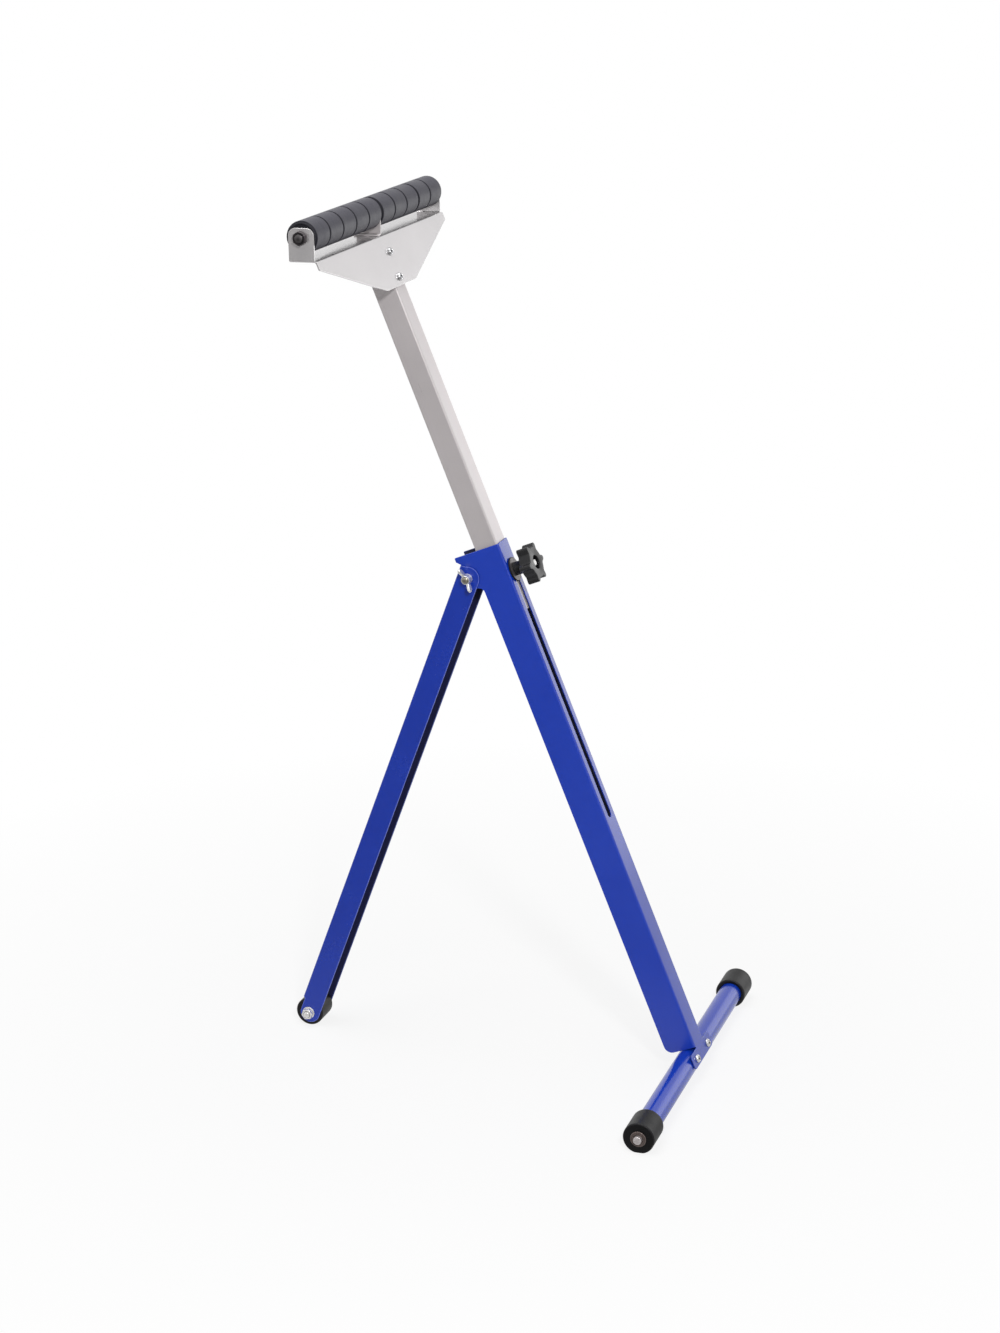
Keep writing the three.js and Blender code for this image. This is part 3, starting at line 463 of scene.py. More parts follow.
@dataclass
class Blank:
    """A flat sheet blank that is folded to shape.

    The outline and holes are drawn flat, the two faces are triangulated between them, and the rim
    is a half-round fillet of rows, each the outline moved in along its mitres. Every point (s, t)
    at depth h under the outer face is then folded by the given map.
    """

    outline: Array
    holes: list[Array]
    sheet: float
    creases: list[tuple[int, Array, tuple[float, float]]]
    fold: Callable[[Array, Array, Array], Array]
    rim: float = 0.35
    guard: float = 1.1

    def skin(self) -> Skin:
        """Builds the folded sheet.

        Returns:
            The closed surface in the fold map's own axes.
        """
        loops = [self._split(self._wound(loop, sign)) for loop, sign in
                 [(self.outline, 1.0), *((hole, -1.0) for hole in self.holes)]]
        lean = np.radians(np.linspace(0.0, 90.0, 4))
        inset = self.rim * (1 - np.sin(lean))
        depth = self.rim * (1 - np.cos(lean))
        inset = np.concatenate([inset, inset[::-1]])
        depth = np.concatenate([depth, self.sheet - depth[::-1]])
        edge_mark = np.array([1.0, 1.0, 1.0, 0.0, 0.0, 1.0, 1.0, 1.0])
        flat, heights, quads, edge, first = [], [], [], [], 0
        tops, bottoms, inner = [], [], []
        for loop in loops:
            mitre = self._mitre(loop)
            count, rows = len(loop), len(inset)
            ring = loop[None] + inset[:, None, None] * mitre[None]
            flat.append(ring.reshape(-1, 2))
            heights.append(np.repeat(-depth, count))
            edge.append(np.repeat(edge_mark, count))
            i, j = np.arange(rows - 1)[:, None], np.arange(count)
            after = (j + 1) % count
            face = np.stack([i * count + j, (i + 1) * count + j, (i + 1) * count + after, i * count + after], -1)
            quads.append(face.reshape(-1, 4) + first)
            tops.append(first + j)
            bottoms.append(first + (rows - 1) * count + j)
            inner.append(loop + (self.rim + self.guard) * mitre)
            first += rows * count
        mesh, faces, source = self._fill([loop + self.rim * self._mitre(loop) for loop in loops], inner)
        rims = sum(len(t) for t in tops)
        triangles = []
        for face_rims, height in ((np.concatenate(tops), 0.0), (np.concatenate(bottoms), -self.sheet)):
            fresh = source >= rims
            index = np.empty(len(mesh), int)
            index[~fresh] = face_rims[source[~fresh]]
            index[fresh] = first + np.arange(fresh.sum())
            flat.append(mesh[fresh])
            heights.append(np.full(fresh.sum(), height))
            edge.append(np.zeros(fresh.sum()))
            first += int(fresh.sum())
            side = index[faces]
            triangles.append(side if height == 0.0 else side[:, ::-1])
        s, t = np.concatenate(flat).T
        depths = np.concatenate(heights)
        # The under face of the sheet is marked for a painted shade (the inside of the channels).
        inner = np.clip(-2 * depths / self.sheet - 0.5, 0.0, 1.0)
        points = self.fold(s, t, depths)
        return Skin(points, np.concatenate(quads), np.concatenate(triangles), np.concatenate(edge), inner).outward()

    @staticmethod
    def _wound(loop: Array, sign: float) -> Array:
        """Gives a loop wound anticlockwise for a sign of 1 and clockwise for -1."""
        s, t = loop.T
        area = (s * np.roll(t, -1) - t * np.roll(s, -1)).sum()
        return loop if area * sign > 0 else loop[::-1]

    @staticmethod
    def _mitre(loop: Array) -> Array:
        """Gives each corner's inward mitre: the sum of its two side normals over 1 plus their product."""
        ahead = np.roll(loop, -1, 0) - loop
        ahead = ahead / np.linalg.norm(ahead, axis=1)[:, None]
        normal = np.stack([-ahead[:, 1], ahead[:, 0]], -1)
        behind = np.roll(normal, 1, 0)
        return (normal + behind) / (1 + (normal * behind).sum(1))[:, None]

    def _split(self, loop: Array) -> Array:
        """Adds a point wherever a loop crosses a crease line."""
        for axis, values, span in self.creases:
            for value in values:
                loop = self._cross(loop, axis, value, span)[0]
        return loop

    @staticmethod
    def _cross(loop: Array, axis: int, value: float, span: tuple[float, float]) -> tuple[Array, Array]:
        """Cuts a loop at one line.

        Args:
            loop: closed loop of points.
            axis: coordinate that the line holds fixed.
            value: the fixed coordinate.
            span: range of the other coordinate that the line covers.

        Returns:
            The loop with the crossings added, and its points on the line.
        """
        ahead = np.roll(loop, -1, 0)
        a, b = loop[:, axis] - value, ahead[:, axis] - value
        hit = (a * b < 0) & (np.abs(a) > 1e-6) & (np.abs(b) > 1e-6)
        share = a[hit] / (a[hit] - b[hit])
        points = loop[hit] + share[:, None] * (ahead[hit] - loop[hit])
        inside = (points[:, 1 - axis] > span[0]) & (points[:, 1 - axis] < span[1])
        loop = np.insert(loop, np.flatnonzero(hit)[inside] + 1, points[inside], axis=0)
        on = (np.abs(loop[:, axis] - value) < 1e-6) & (loop[:, 1 - axis] > span[0]) & (loop[:, 1 - axis] < span[1])
        return loop, loop[on]

    def _fill(self, rims: list[Array], inner: list[Array]) -> tuple[Array, Array, Array]:
        """Triangulates the face between the rims, along guard loops and creases.

        Args:
            rims: face edges, outline first.
            inner: guard loops just inside the rims.

        Returns:
            The points, the triangles, and each point's place in the joined rims or a larger number.
        """
        loops = list(rims)
        lines = []
        for loop in inner:
            marks = []
            for axis, values, span in self.creases:
                for value in values:
                    loop, points = self._cross(loop, axis, value, span)
                    marks.append((axis, value, points))
            loops.append(loop)
            lines += marks
        points = np.concatenate(loops)
        edges, start = [], 0
        for loop in loops:
            k = np.arange(len(loop))
            edges.append(np.stack([k, (k + 1) % len(loop)], -1) + start)
            start += len(loop)
        keys: dict[tuple[int, float], list[Array]] = {}
        for axis, value, found in lines:
            keys.setdefault((axis, value), []).append(found)
        for (axis, _), found in keys.items():
            row = np.concatenate(found)
            row = row[np.argsort(row[:, 1 - axis])]
            pairs = row[: len(row) // 2 * 2].reshape(-1, 2, 2)
            index = np.linalg.norm(points[None, None] - pairs[:, :, None], axis=-1).argmin(-1)
            edges.append(index)
        flat, _, faces, source, _, _ = delaunay_2d_cdt(
            [tuple(p) for p in points], np.concatenate(edges).tolist(), [], 0, 1e-6)
        mesh = np.array([tuple(p) for p in flat])
        tri = np.array([f for f in faces if len(f) == 3])
        middle = mesh[tri].mean(1)
        inside = np.zeros(len(tri), bool)
        for loop in rims:
            inside ^= self._within(loop, middle)
        origin = np.array([s[0] if s else len(points) for s in source])
        return mesh, tri[inside], origin

    @staticmethod
    def _within(loop: Array, points: Array) -> Array:
        """Tells which points a loop encloses, by counting the sides that a ray crosses."""
        a, b = loop[None], np.roll(loop, -1, 0)[None]
        x, y = points[:, None, 0], points[:, None, 1]
        span = (a[..., 1] > y) != (b[..., 1] > y)
        rise = np.where(span, b[..., 1] - a[..., 1], 1.0)
        cut = a[..., 0] + (y - a[..., 1]) / rise * (b[..., 0] - a[..., 0])
        return ((span & (x < cut)).sum(1) % 2).astype(bool)


def mirrored(half: Array) -> Array:
    """Closes a half outline, drawn from foot to top on the +s side, with its mirror image."""
    other = half[::-1] * np.array([-1.0, 1.0])
    loop = np.concatenate([half, other])
    keep = np.linalg.norm(loop - np.roll(loop, 1, 0), axis=1) > 1e-7
    return loop[keep]


class Graph:
    """Short hand for laying nodes in one node tree."""

    def __init__(self, tree: bpy.types.NodeTree) -> None:
        """Keeps the tree that the nodes go into."""
        self.tree = tree

    def add(self, kind: str, **settings: object) -> bpy.types.Node:
        """Adds a node and sets its properties.

        Args:
            kind: node type without its ShaderNode prefix.
            **settings: properties of the node.

        Returns:
            The node.
        """
        node = self.tree.nodes.new(kind if kind.startswith("NodeGroup") else "ShaderNode" + kind)
        for key, value in settings.items():
            setattr(node, key, value)
        return node

    def feed(self, node: bpy.types.Node, **inputs: object) -> bpy.types.Node:
        """Sets or links inputs by name, with underscores for spaces.

        Args:
            node: node to feed.
            **inputs: a socket to link, or a value to set.

        Returns:
            The same node.
        """
        for key, value in inputs.items():
            socket = node.inputs[key.replace("_", " ")]
            if isinstance(value, bpy.types.NodeSocket):
                self.tree.links.new(value, socket)
            else:
                socket.default_value = value
        return node

    def noise(self, vector: bpy.types.NodeSocket, scale: object, detail: float = 3.0,
              roughness: float = 0.5) -> bpy.types.NodeSocket:
        """Adds a noise texture and gives its value."""
        node = self.add("TexNoise")
        self.feed(node, Vector=vector, Scale=scale, Detail=detail, Roughness=roughness)
        return node.outputs[0]

    def span(self, value: bpy.types.NodeSocket, low: float, high: float, to_low: float = 0.0,
             to_high: float = 1.0) -> bpy.types.NodeSocket:
        """Maps a value from one range to another, clamped."""
        node = self.add("MapRange", clamp=True)
        for k, number in enumerate((low, high, to_low, to_high)):
            node.inputs[k + 1].default_value = number
        self.tree.links.new(value, node.inputs[0])
        return node.outputs[0]

    def maths(self, operation: str, a: object, b: object) -> bpy.types.NodeSocket:
        """Adds a maths node on two values or sockets."""
        node = self.add("Math", operation=operation)
        for socket, value in zip(node.inputs, (a, b)):
            if isinstance(value, bpy.types.NodeSocket):
                self.tree.links.new(value, socket)
            else:
                socket.default_value = value
        return node.outputs[0]

    def blend(self, share: bpy.types.NodeSocket, a: object, b: object) -> bpy.types.NodeSocket:
        """Mixes two colours, given as sockets or colours, by a share."""
        node = self.add("Mix", data_type="RGBA")
        self.tree.links.new(share, node.inputs[0])
        for socket, value in zip((node.inputs[6], node.inputs[7]), (a, b)):
            if isinstance(value, bpy.types.NodeSocket):
                self.tree.links.new(value, socket)
            else:
                socket.default_value = (*value, 1.0)
        return node.outputs[2]


class Effect(Enum):
    """Shared surface effects, each one node group."""

    EDGE = "edge_wear_and_light_mask"
    GRAIN = "fine_grain"
    STREAK = "rolled_streaks"
    DUST = "settled_dust"
    CLOUD = "cloudy_tone"


class Effects:
    """Builds the shared effects once and places them in materials."""

    def __init__(self) -> None:
        """Builds every group."""
        self.groups = {
            Effect.EDGE: self._edge(), Effect.GRAIN: self._grain(), Effect.STREAK: self._streak(),
            Effect.DUST: self._dust(), Effect.CLOUD: self._cloud(),
        }

    @staticmethod
    def _shell(effect: Effect, inputs: dict[str, float], output: str) -> tuple[Graph, bpy.types.Node, bpy.types.Node]:
        """Makes an empty group with named inputs and one output.

        Args:
            effect: effect that the group is for.
            inputs: input names with their usual values.
            output: name of the value that the group gives.

        Returns:
            The group's graph, its input node and its output node.
        """
        tree = bpy.data.node_groups.new(effect.value, "ShaderNodeTree")
        for name, usual in inputs.items():
            socket = tree.interface.new_socket(name=name, in_out="INPUT", socket_type="NodeSocketFloat")
            socket.default_value = usual
        tree.interface.new_socket(name=output, in_out="OUTPUT", socket_type="NodeSocketFloat")
        graph = Graph(tree)
        return graph, graph.add("NodeGroupInput"), graph.add("NodeGroupOutput")

    def _edge(self) -> bpy.types.NodeTree:
        """Edges for rubbed wear and for painted edge highlights and shade: the edge mask broken up by noise."""
        g, given, out = self._shell(Effect.EDGE, {"Scale": 60.0, "Break": 0.4}, "Mask")
        mark = g.add("Attribute", attribute_name="edge")
        spot = g.add("TexCoord").outputs["Object"]
        patch = g.noise(spot, given.outputs["Scale"], 4.0, 0.6)
        kept = g.maths("SUBTRACT", mark.outputs["Fac"], g.maths("MULTIPLY", patch, given.outputs["Break"]))
        g.tree.links.new(g.span(kept, 0.15, 0.75), out.inputs["Mask"])
        return g.tree

    def _grain(self) -> bpy.types.NodeTree:
        """Fine even grain: two scales of noise added."""
        g, given, out = self._shell(Effect.GRAIN, {"Scale": 900.0, "Coarse": 0.4}, "Grain")
        spot = g.add("TexCoord").outputs["Object"]
        fine = g.noise(spot, given.outputs["Scale"], 2.0, 0.6)
        broad = g.noise(spot, g.maths("MULTIPLY", given.outputs["Scale"], 0.27), 2.0, 0.5)
        both = g.maths("ADD", fine, g.maths("MULTIPLY", broad, given.outputs["Coarse"]))
        g.tree.links.new(both, out.inputs["Grain"])
        return g.tree

    def _streak(self) -> bpy.types.NodeTree:
        """Rolling streaks: noise drawn out along one direction that leans by Turn about Y."""
        g, given, out = self._shell(
            Effect.STREAK, {"Turn": 0.0, "Long X": 1.0, "Long Y": 1.0, "Long Z": 1.0, "Scale": 600.0}, "Streak")
        place = g.add("CombineXYZ")
        g.tree.links.new(given.outputs["Turn"], place.inputs[1])
        size = g.add("CombineXYZ")
        for k, name in enumerate(("Long X", "Long Y", "Long Z")):
            g.tree.links.new(given.outputs[name], size.inputs[k])
        spot = g.feed(g.add("Mapping", vector_type="POINT"), Vector=g.add("TexCoord").outputs["Object"],
                      Rotation=place.outputs[0])
        drawn = g.add("VectorMath", operation="MULTIPLY")
        g.tree.links.new(spot.outputs[0], drawn.inputs[0])
        g.tree.links.new(size.outputs[0], drawn.inputs[1])
        g.tree.links.new(g.noise(drawn.outputs[0], given.outputs["Scale"], 5.0, 0.65), out.inputs["Streak"])
        return g.tree

    def _dust(self) -> bpy.types.NodeTree:
        """Settled dust and lint: specks that gather on faces turned upwards."""
        g, given, out = self._shell(Effect.DUST, {"Scale": 700.0, "Cover": 0.5}, "Mask")
        spot = g.add("TexCoord").outputs["Object"]
        up = g.add("SeparateXYZ")
        g.tree.links.new(g.add("NewGeometry").outputs["Normal"], up.inputs[0])
        lie = g.span(up.outputs[2], -0.2, 0.9)
        speck = g.span(g.noise(spot, given.outputs["Scale"], 4.0, 0.75), 0.52, 0.72)
        patch = g.span(g.noise(spot, 34.0, 3.0, 0.55), 0.35, 0.65, 0.3, 1.0)
        both = g.maths("MULTIPLY", g.maths("MULTIPLY", speck, patch), lie)
        g.tree.links.new(g.maths("MULTIPLY", both, given.outputs["Cover"]), out.inputs["Mask"])
        return g.tree

    def _cloud(self) -> bpy.types.NodeTree:
        """Cloudy tone: broad soft patches."""
        g, given, out = self._shell(Effect.CLOUD, {"Scale": 14.0, "Contrast": 1.0}, "Tone")
        spot = g.add("TexCoord").outputs["Object"]
        patch = g.noise(spot, given.outputs["Scale"], 3.0, 0.55)
        lifted = g.maths("MULTIPLY", g.maths("SUBTRACT", patch, 0.5), given.outputs["Contrast"])
        g.tree.links.new(g.maths("ADD", lifted, 0.5), out.inputs["Tone"])
        return g.tree

    def use(self, graph: Graph, effect: Effect, **inputs: float) -> bpy.types.NodeSocket:
        """Places an effect in a material.

        Args:
            graph: material's graph.
            effect: effect to place.
            **inputs: its values, with underscores for spaces.

        Returns:
            The effect's output.
        """
        node = graph.add("Group", node_tree=self.groups[effect])
        return graph.feed(node, **inputs).outputs[0]


@dataclass(frozen=True)
class Finish:
    """A surface finish: two tones, an edge tone, a painted-shade colour, and the gloss that they share. The edge tone
    is rubbed wear together with a painted highlight on lit rims, and a painted shade on the clamp washer's rim.
    """

    name: str
    tone: Colour
    shade: Colour
    edge_wear_and_light: Colour
    rough: tuple[float, float]
    metallic: float = 0.0
    ior: float = 1.45
    coat: float = 0.0
    coat_rough: float = 0.1
    cloud: float = 14.0
    cloud_contrast: float = 1.6
    grain: float = 900.0
    grain_depth: float = 0.00003
    edge_wear_and_light_share: float = 0.4
    dust: float = 0.0
    dust_tone: Colour = (0.5, 0.49, 0.47)
    streak: tuple[float, float, float] | None = None
    streak_turn: float = 0.0
    streak_scale: float = 600.0
    streak_share: float = 0.35
    # Painted shade: a darker colour laid on faces marked by the inner mask (inside of the channels, screw recesses,
    # the clamp washer's rim, the rollers' chamfered ends), where shade falls.
    painted_shade: Colour | None = None
    mottle: float = 0.22

    def material(self, effects: Effects) -> bpy.types.Material:
        """Lays the finish out as a material.

        Args:
            effects: shared effects.

        Returns:
            The material.
        """
        made = bpy.data.materials.new(self.name)
        made.use_nodes = True
        g = Graph(made.node_tree)
        made.node_tree.nodes.clear()
        cloud = effects.use(g, Effect.CLOUD, Scale=self.cloud, Contrast=self.cloud_contrast)
        grain = effects.use(g, Effect.GRAIN, Scale=self.grain)
        edge = effects.use(g, Effect.EDGE)
        colour = g.blend(cloud, self.shade, self.tone)
        mottle = g.span(grain, 0.35, 0.8, 0.0, self.mottle)
        colour = g.blend(mottle, colour, self.shade)
        uneven = g.maths("ADD", g.maths("MULTIPLY", cloud, 0.6), g.maths("MULTIPLY", grain, 0.3))
        height = grain
        if self.streak is not None:
            x, y, z = self.streak
            lines = effects.use(g, Effect.STREAK, Turn=self.streak_turn, Long_X=x, Long_Y=y, Long_Z=z,
                                Scale=self.streak_scale)
            colour = g.blend(g.span(lines, 0.35, 0.7, 0.0, self.streak_share), colour, self.shade)
            uneven = g.maths("ADD", g.maths("MULTIPLY", uneven, 0.5), g.maths("MULTIPLY", lines, 0.5))
            height = g.maths("ADD", g.maths("MULTIPLY", grain, 0.5), lines)
        # Painted shade: faces marked by the inner mask take the finish's darker painted-shade colour.
        if self.painted_shade is not None:
            side = g.add("Attribute", attribute_name="inner")
            colour = g.blend(side.outputs["Fac"], colour, self.painted_shade)
        # Edge colour: rubbed wear together with a painted highlight on lit rims; on the clamp washer a painted shade
        # on the rim.
        colour = g.blend(g.maths("MULTIPLY", edge, self.edge_wear_and_light_share), colour, self.edge_wear_and_light)
        rough = g.span(uneven, 0.25, 0.75, *self.rough)
        if self.painted_shade is not None:
            rough = g.maths("ADD", rough, g.maths("MULTIPLY", side.outputs["Fac"], 0.4))
        if self.dust > 0:
            lint = effects.use(g, Effect.DUST, Cover=self.dust)
            colour = g.blend(lint, colour, self.dust_tone)
            rough = g.maths("ADD", rough, g.maths("MULTIPLY", lint, 0.3))
        bump = g.feed(g.add("Bump"), Height=height, Strength=1.0, Distance=self.grain_depth)
        shader = g.feed(
            g.add("BsdfPrincipled"), Base_Color=colour, Roughness=rough, Normal=bump.outputs[0],
            Metallic=self.metallic, IOR=self.ior, Coat_Weight=self.coat, Coat_Roughness=self.coat_rough)
        out = g.add("OutputMaterial")
        g.tree.links.new(shader.outputs[0], out.inputs[0])
        return made


FINISHES = {
    # Painted shade darkens the inside of the channel; the lighter edge colour is part wear, part painted highlight on
    # the rims.
    "blue_paint": Finish(
        "blue_paint", tone=(0.005, 0.046, 0.49), shade=(0.003, 0.036, 0.42), edge_wear_and_light=(0.05, 0.12, 0.74),
        rough=(0.14, 0.24), ior=1.58, cloud=9.0, grain=190.0, grain_depth=0.000012, edge_wear_and_light_share=0.3, dust=0.02,
        painted_shade=(0.002, 0.005, 0.06)),
    # Painted shade darkens the inside of the channel; the light edge colour is mostly a painted highlight on the
    # rims.
    "leg_paint": Finish(
        "leg_paint", tone=(0.004, 0.038, 0.435), shade=(0.002, 0.029, 0.36), edge_wear_and_light=(0.2, 0.26, 0.8),
        rough=(0.2, 0.3), ior=1.5, cloud=9.0, grain=190.0, grain_depth=0.000012, edge_wear_and_light_share=0.6, dust=0.02,
        painted_shade=(0.002, 0.004, 0.05)),
    "zinc_head": Finish(
        "zinc_head", tone=(0.735, 0.715, 0.72), shade=(0.64, 0.62, 0.625), edge_wear_and_light=(0.84, 0.83, 0.83),
        rough=(0.13, 0.26), metallic=0.65, cloud=11.0, grain=700.0, grain_depth=0.000007, edge_wear_and_light_share=0.3,
        streak=(6.0, 0.06, 6.0), streak_scale=260.0, streak_share=0.3),
    "zinc_post": Finish(
        "zinc_post", tone=(0.64, 0.60, 0.605), shade=(0.54, 0.505, 0.51), edge_wear_and_light=(0.8, 0.79, 0.78),
        rough=(0.24, 0.4), metallic=0.35, cloud=8.0, grain=700.0, grain_depth=0.00003, edge_wear_and_light_share=0.4,
        streak=(6.0, 6.0, 0.06), streak_turn=FRONT_LEAN, streak_scale=260.0, streak_share=0.3),
    # Its painted-shade colour darkens faces marked by the inner mask, where shade falls.
    "bright_zinc": Finish(
        "bright_zinc", tone=(0.88, 0.875, 0.865), shade=(0.58, 0.57, 0.555), edge_wear_and_light=(0.92, 0.92, 0.92),
        rough=(0.16, 0.34), metallic=0.65, cloud=160.0, grain=1600.0, grain_depth=0.00002, edge_wear_and_light_share=0.5,
        painted_shade=(0.08, 0.08, 0.085)),
    # Its painted-shade colour darkens the cross recess and the head's middle.
    "plated_screw": Finish(
        "plated_screw", tone=(0.66, 0.66, 0.67), shade=(0.4, 0.4, 0.41), edge_wear_and_light=(0.84, 0.84, 0.85),
        rough=(0.12, 0.26), metallic=0.97, cloud=160.0, grain=1600.0, grain_depth=0.00002, edge_wear_and_light_share=0.3,
        painted_shade=(0.06, 0.06, 0.065)),
    "passivated_steel": Finish(
        "passivated_steel", tone=(0.36, 0.33, 0.27), shade=(0.2, 0.18, 0.145), edge_wear_and_light=(0.6, 0.57, 0.5),
        rough=(0.24, 0.4), metallic=0.9, cloud=160.0, grain=1600.0, grain_depth=0.00002, edge_wear_and_light_share=0.4),
    "cut_steel": Finish(
        "cut_steel", tone=(0.70, 0.655, 0.655), shade=(0.5, 0.46, 0.46), edge_wear_and_light=(0.8, 0.77, 0.77),
        rough=(0.3, 0.45), metallic=0.7, cloud=160.0, grain=1600.0, grain_depth=0.00002, edge_wear_and_light_share=0.3),
    "brown_steel": Finish(
        "brown_steel", tone=(0.15, 0.115, 0.105), shade=(0.09, 0.07, 0.064), edge_wear_and_light=(0.26, 0.21, 0.2),
        rough=(0.34, 0.5), metallic=0.6, cloud=160.0, grain=1600.0, grain_depth=0.00002, edge_wear_and_light_share=0.4),
    # Its dark edge colour and its painted-shade colour paint shade on the washer's rim.
    "clamp_steel": Finish(
        "clamp_steel", tone=(0.2, 0.185, 0.19), shade=(0.13, 0.12, 0.125), edge_wear_and_light=(0.02, 0.019, 0.022),
        rough=(0.34, 0.5), metallic=0.6, cloud=160.0, grain=1600.0, grain_depth=0.00002, edge_wear_and_light_share=0.8,
        painted_shade=(0.006, 0.006, 0.008)),
    "dull_steel": Finish(
        "dull_steel", tone=(0.08, 0.074, 0.076), shade=(0.045, 0.042, 0.044), edge_wear_and_light=(0.2, 0.19, 0.19),
        rough=(0.3, 0.46), metallic=0.8, cloud=160.0, grain=1600.0, grain_depth=0.00002, edge_wear_and_light_share=0.4),
    "black_oxide": Finish(
        "black_oxide", tone=(0.04, 0.035, 0.038), shade=(0.02, 0.018, 0.02), edge_wear_and_light=(0.13, 0.115, 0.12),
        rough=(0.3, 0.46), metallic=0.7, cloud=160.0, grain=1600.0, grain_depth=0.00002, edge_wear_and_light_share=0.5),
    "black_rubber": Finish(
        "black_rubber", tone=(0.004, 0.0038, 0.0046), shade=(0.002, 0.0019, 0.0023), edge_wear_and_light=(0.02, 0.019, 0.022),
        rough=(0.34, 0.50), ior=1.3, cloud=40.0, grain=1100.0, grain_depth=0.00004, edge_wear_and_light_share=0.5, dust=0.03),
    "black_plastic": Finish(
        "black_plastic", tone=(0.005, 0.005, 0.006), shade=(0.0025, 0.0025, 0.003), edge_wear_and_light=(0.03, 0.03, 0.032),
        rough=(0.17, 0.32), ior=1.3, cloud=60.0, grain=520.0, grain_depth=0.00007, edge_wear_and_light_share=0.7, dust=0.02),
    # Its painted-shade colour darkens the chamfered roller ends, painting shade into the gaps between rollers.
    "roller_plastic": Finish(
        "roller_plastic", tone=(0.037, 0.035, 0.056), shade=(0.016, 0.015, 0.026), edge_wear_and_light=(0.06, 0.06, 0.072),
        rough=(0.34, 0.56), ior=1.45, cloud=30.0, grain=520.0, grain_depth=0.00014, edge_wear_and_light_share=0.45, dust=0.10,
        dust_tone=(0.42, 0.41, 0.50), streak=(0.6, 6.0, 0.6), streak_scale=120.0, streak_share=0.5,
        painted_shade=(0.002, 0.002, 0.006), mottle=0.6),
}


@dataclass
class Fitter:
    """Turns surfaces into pieces of the scene and seats them on the frame."""

    effects: Effects = field(default_factory=Effects)
    made: dict[str, bpy.types.Material] = field(default_factory=dict)

    def finish(self, name: str) -> bpy.types.Material:
        """Gives a finish's material, made on first use."""
        if name not in self.made:
            self.made[name] = FINISHES[name].material(self.effects)
        return self.made[name]

    def fit(self, node: str, skins: list[Skin], seat: Seat, body: str, slot: Slot, finish: str,
            sharp: float = 40.0) -> bpy.types.Object:
        """Makes one piece in the place of a frame node.

        Args:
            node: frame node that the piece stands for.
            skins: its surfaces, in the seat's axes.
            seat: where it sits.
            body: body that it rides on.
            slot: record slot of its finish; not used.
            finish: name of its finish.
            sharp: angle in degrees past which an edge is drawn sharp.

        Returns:
            The piece.
        """
        starts = np.cumsum([0, *(len(s.points) for s in skins)])
        faces = []
        for start, skin in zip(starts, skins):
            faces += (skin.quads + start).tolist() + (skin.triangles + start).tolist()
        points = seat.place(np.concatenate([s.points for s in skins])) * MM
        mesh = bpy.data.meshes.new(node + "_skin")
        mesh.from_pydata(points.tolist(), [], faces)
        mesh.polygons.foreach_set("use_smooth", np.ones(len(mesh.polygons), bool))
        for name in ("edge", "inner"):
            mark = mesh.attributes.new(name, "FLOAT", "POINT")
            values = np.concatenate([getattr(s, name) for s in skins])
            mark.data.foreach_set("value", values.astype(np.float32))
        mesh.materials.append(self.finish(finish))
        mesh.validate()
        mesh.set_sharp_from_angle(angle=math.radians(sharp))
        piece = bpy.data.objects.new(node + "_piece", mesh)
        bpy.context.scene.collection.objects.link(piece)
        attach(piece, body)
        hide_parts(node)
        LOG.info("%s: %d faces on %s", piece.name, len(mesh.polygons), body)
        return piece


def channel_fold(half: float, bend: float, flat_below: float) -> tuple[Callable[[Array, Array, Array], Array], float]:
    """Gives the map that folds a flat blank into a channel.

    Across the web x is the depth h and y is s. Past s = half - bend the sheet turns through a right
    angle over its neutral length, x = (bend + h) cos(a) - bend and y = half - bend + (bend + h) sin(a),
    and then runs straight back. Below a height the sheet stays flat.

    Args:
        half: half of the channel's outside width.
        bend: outside bend radius.
        flat_below: height under which nothing is folded.

    Returns:
        The map, and the value of s at no depth behind the web on the flange.
    """
    start = half - bend
    length = (bend - 0.8) * math.pi / 2

    def fold(s: Array, t: Array, h: Array) -> Array:
        """Folds points at (s, t) and depth h."""
        loose = t < flat_below
        past = np.where(loose, 0.0, np.maximum(np.abs(s) - start, 0.0))
        angle = np.minimum(past / length, 1.0) * math.pi / 2
        back = np.maximum(past - length, 0.0)
        x = (bend + h) * np.cos(angle) - bend - back
        y = np.sign(s) * (np.minimum(np.abs(s), start) + (bend + h) * np.sin(angle))
        return np.stack([np.where(loose, h, x), np.where(loose, s, y), t], -1)

    return fold, start + length - bend


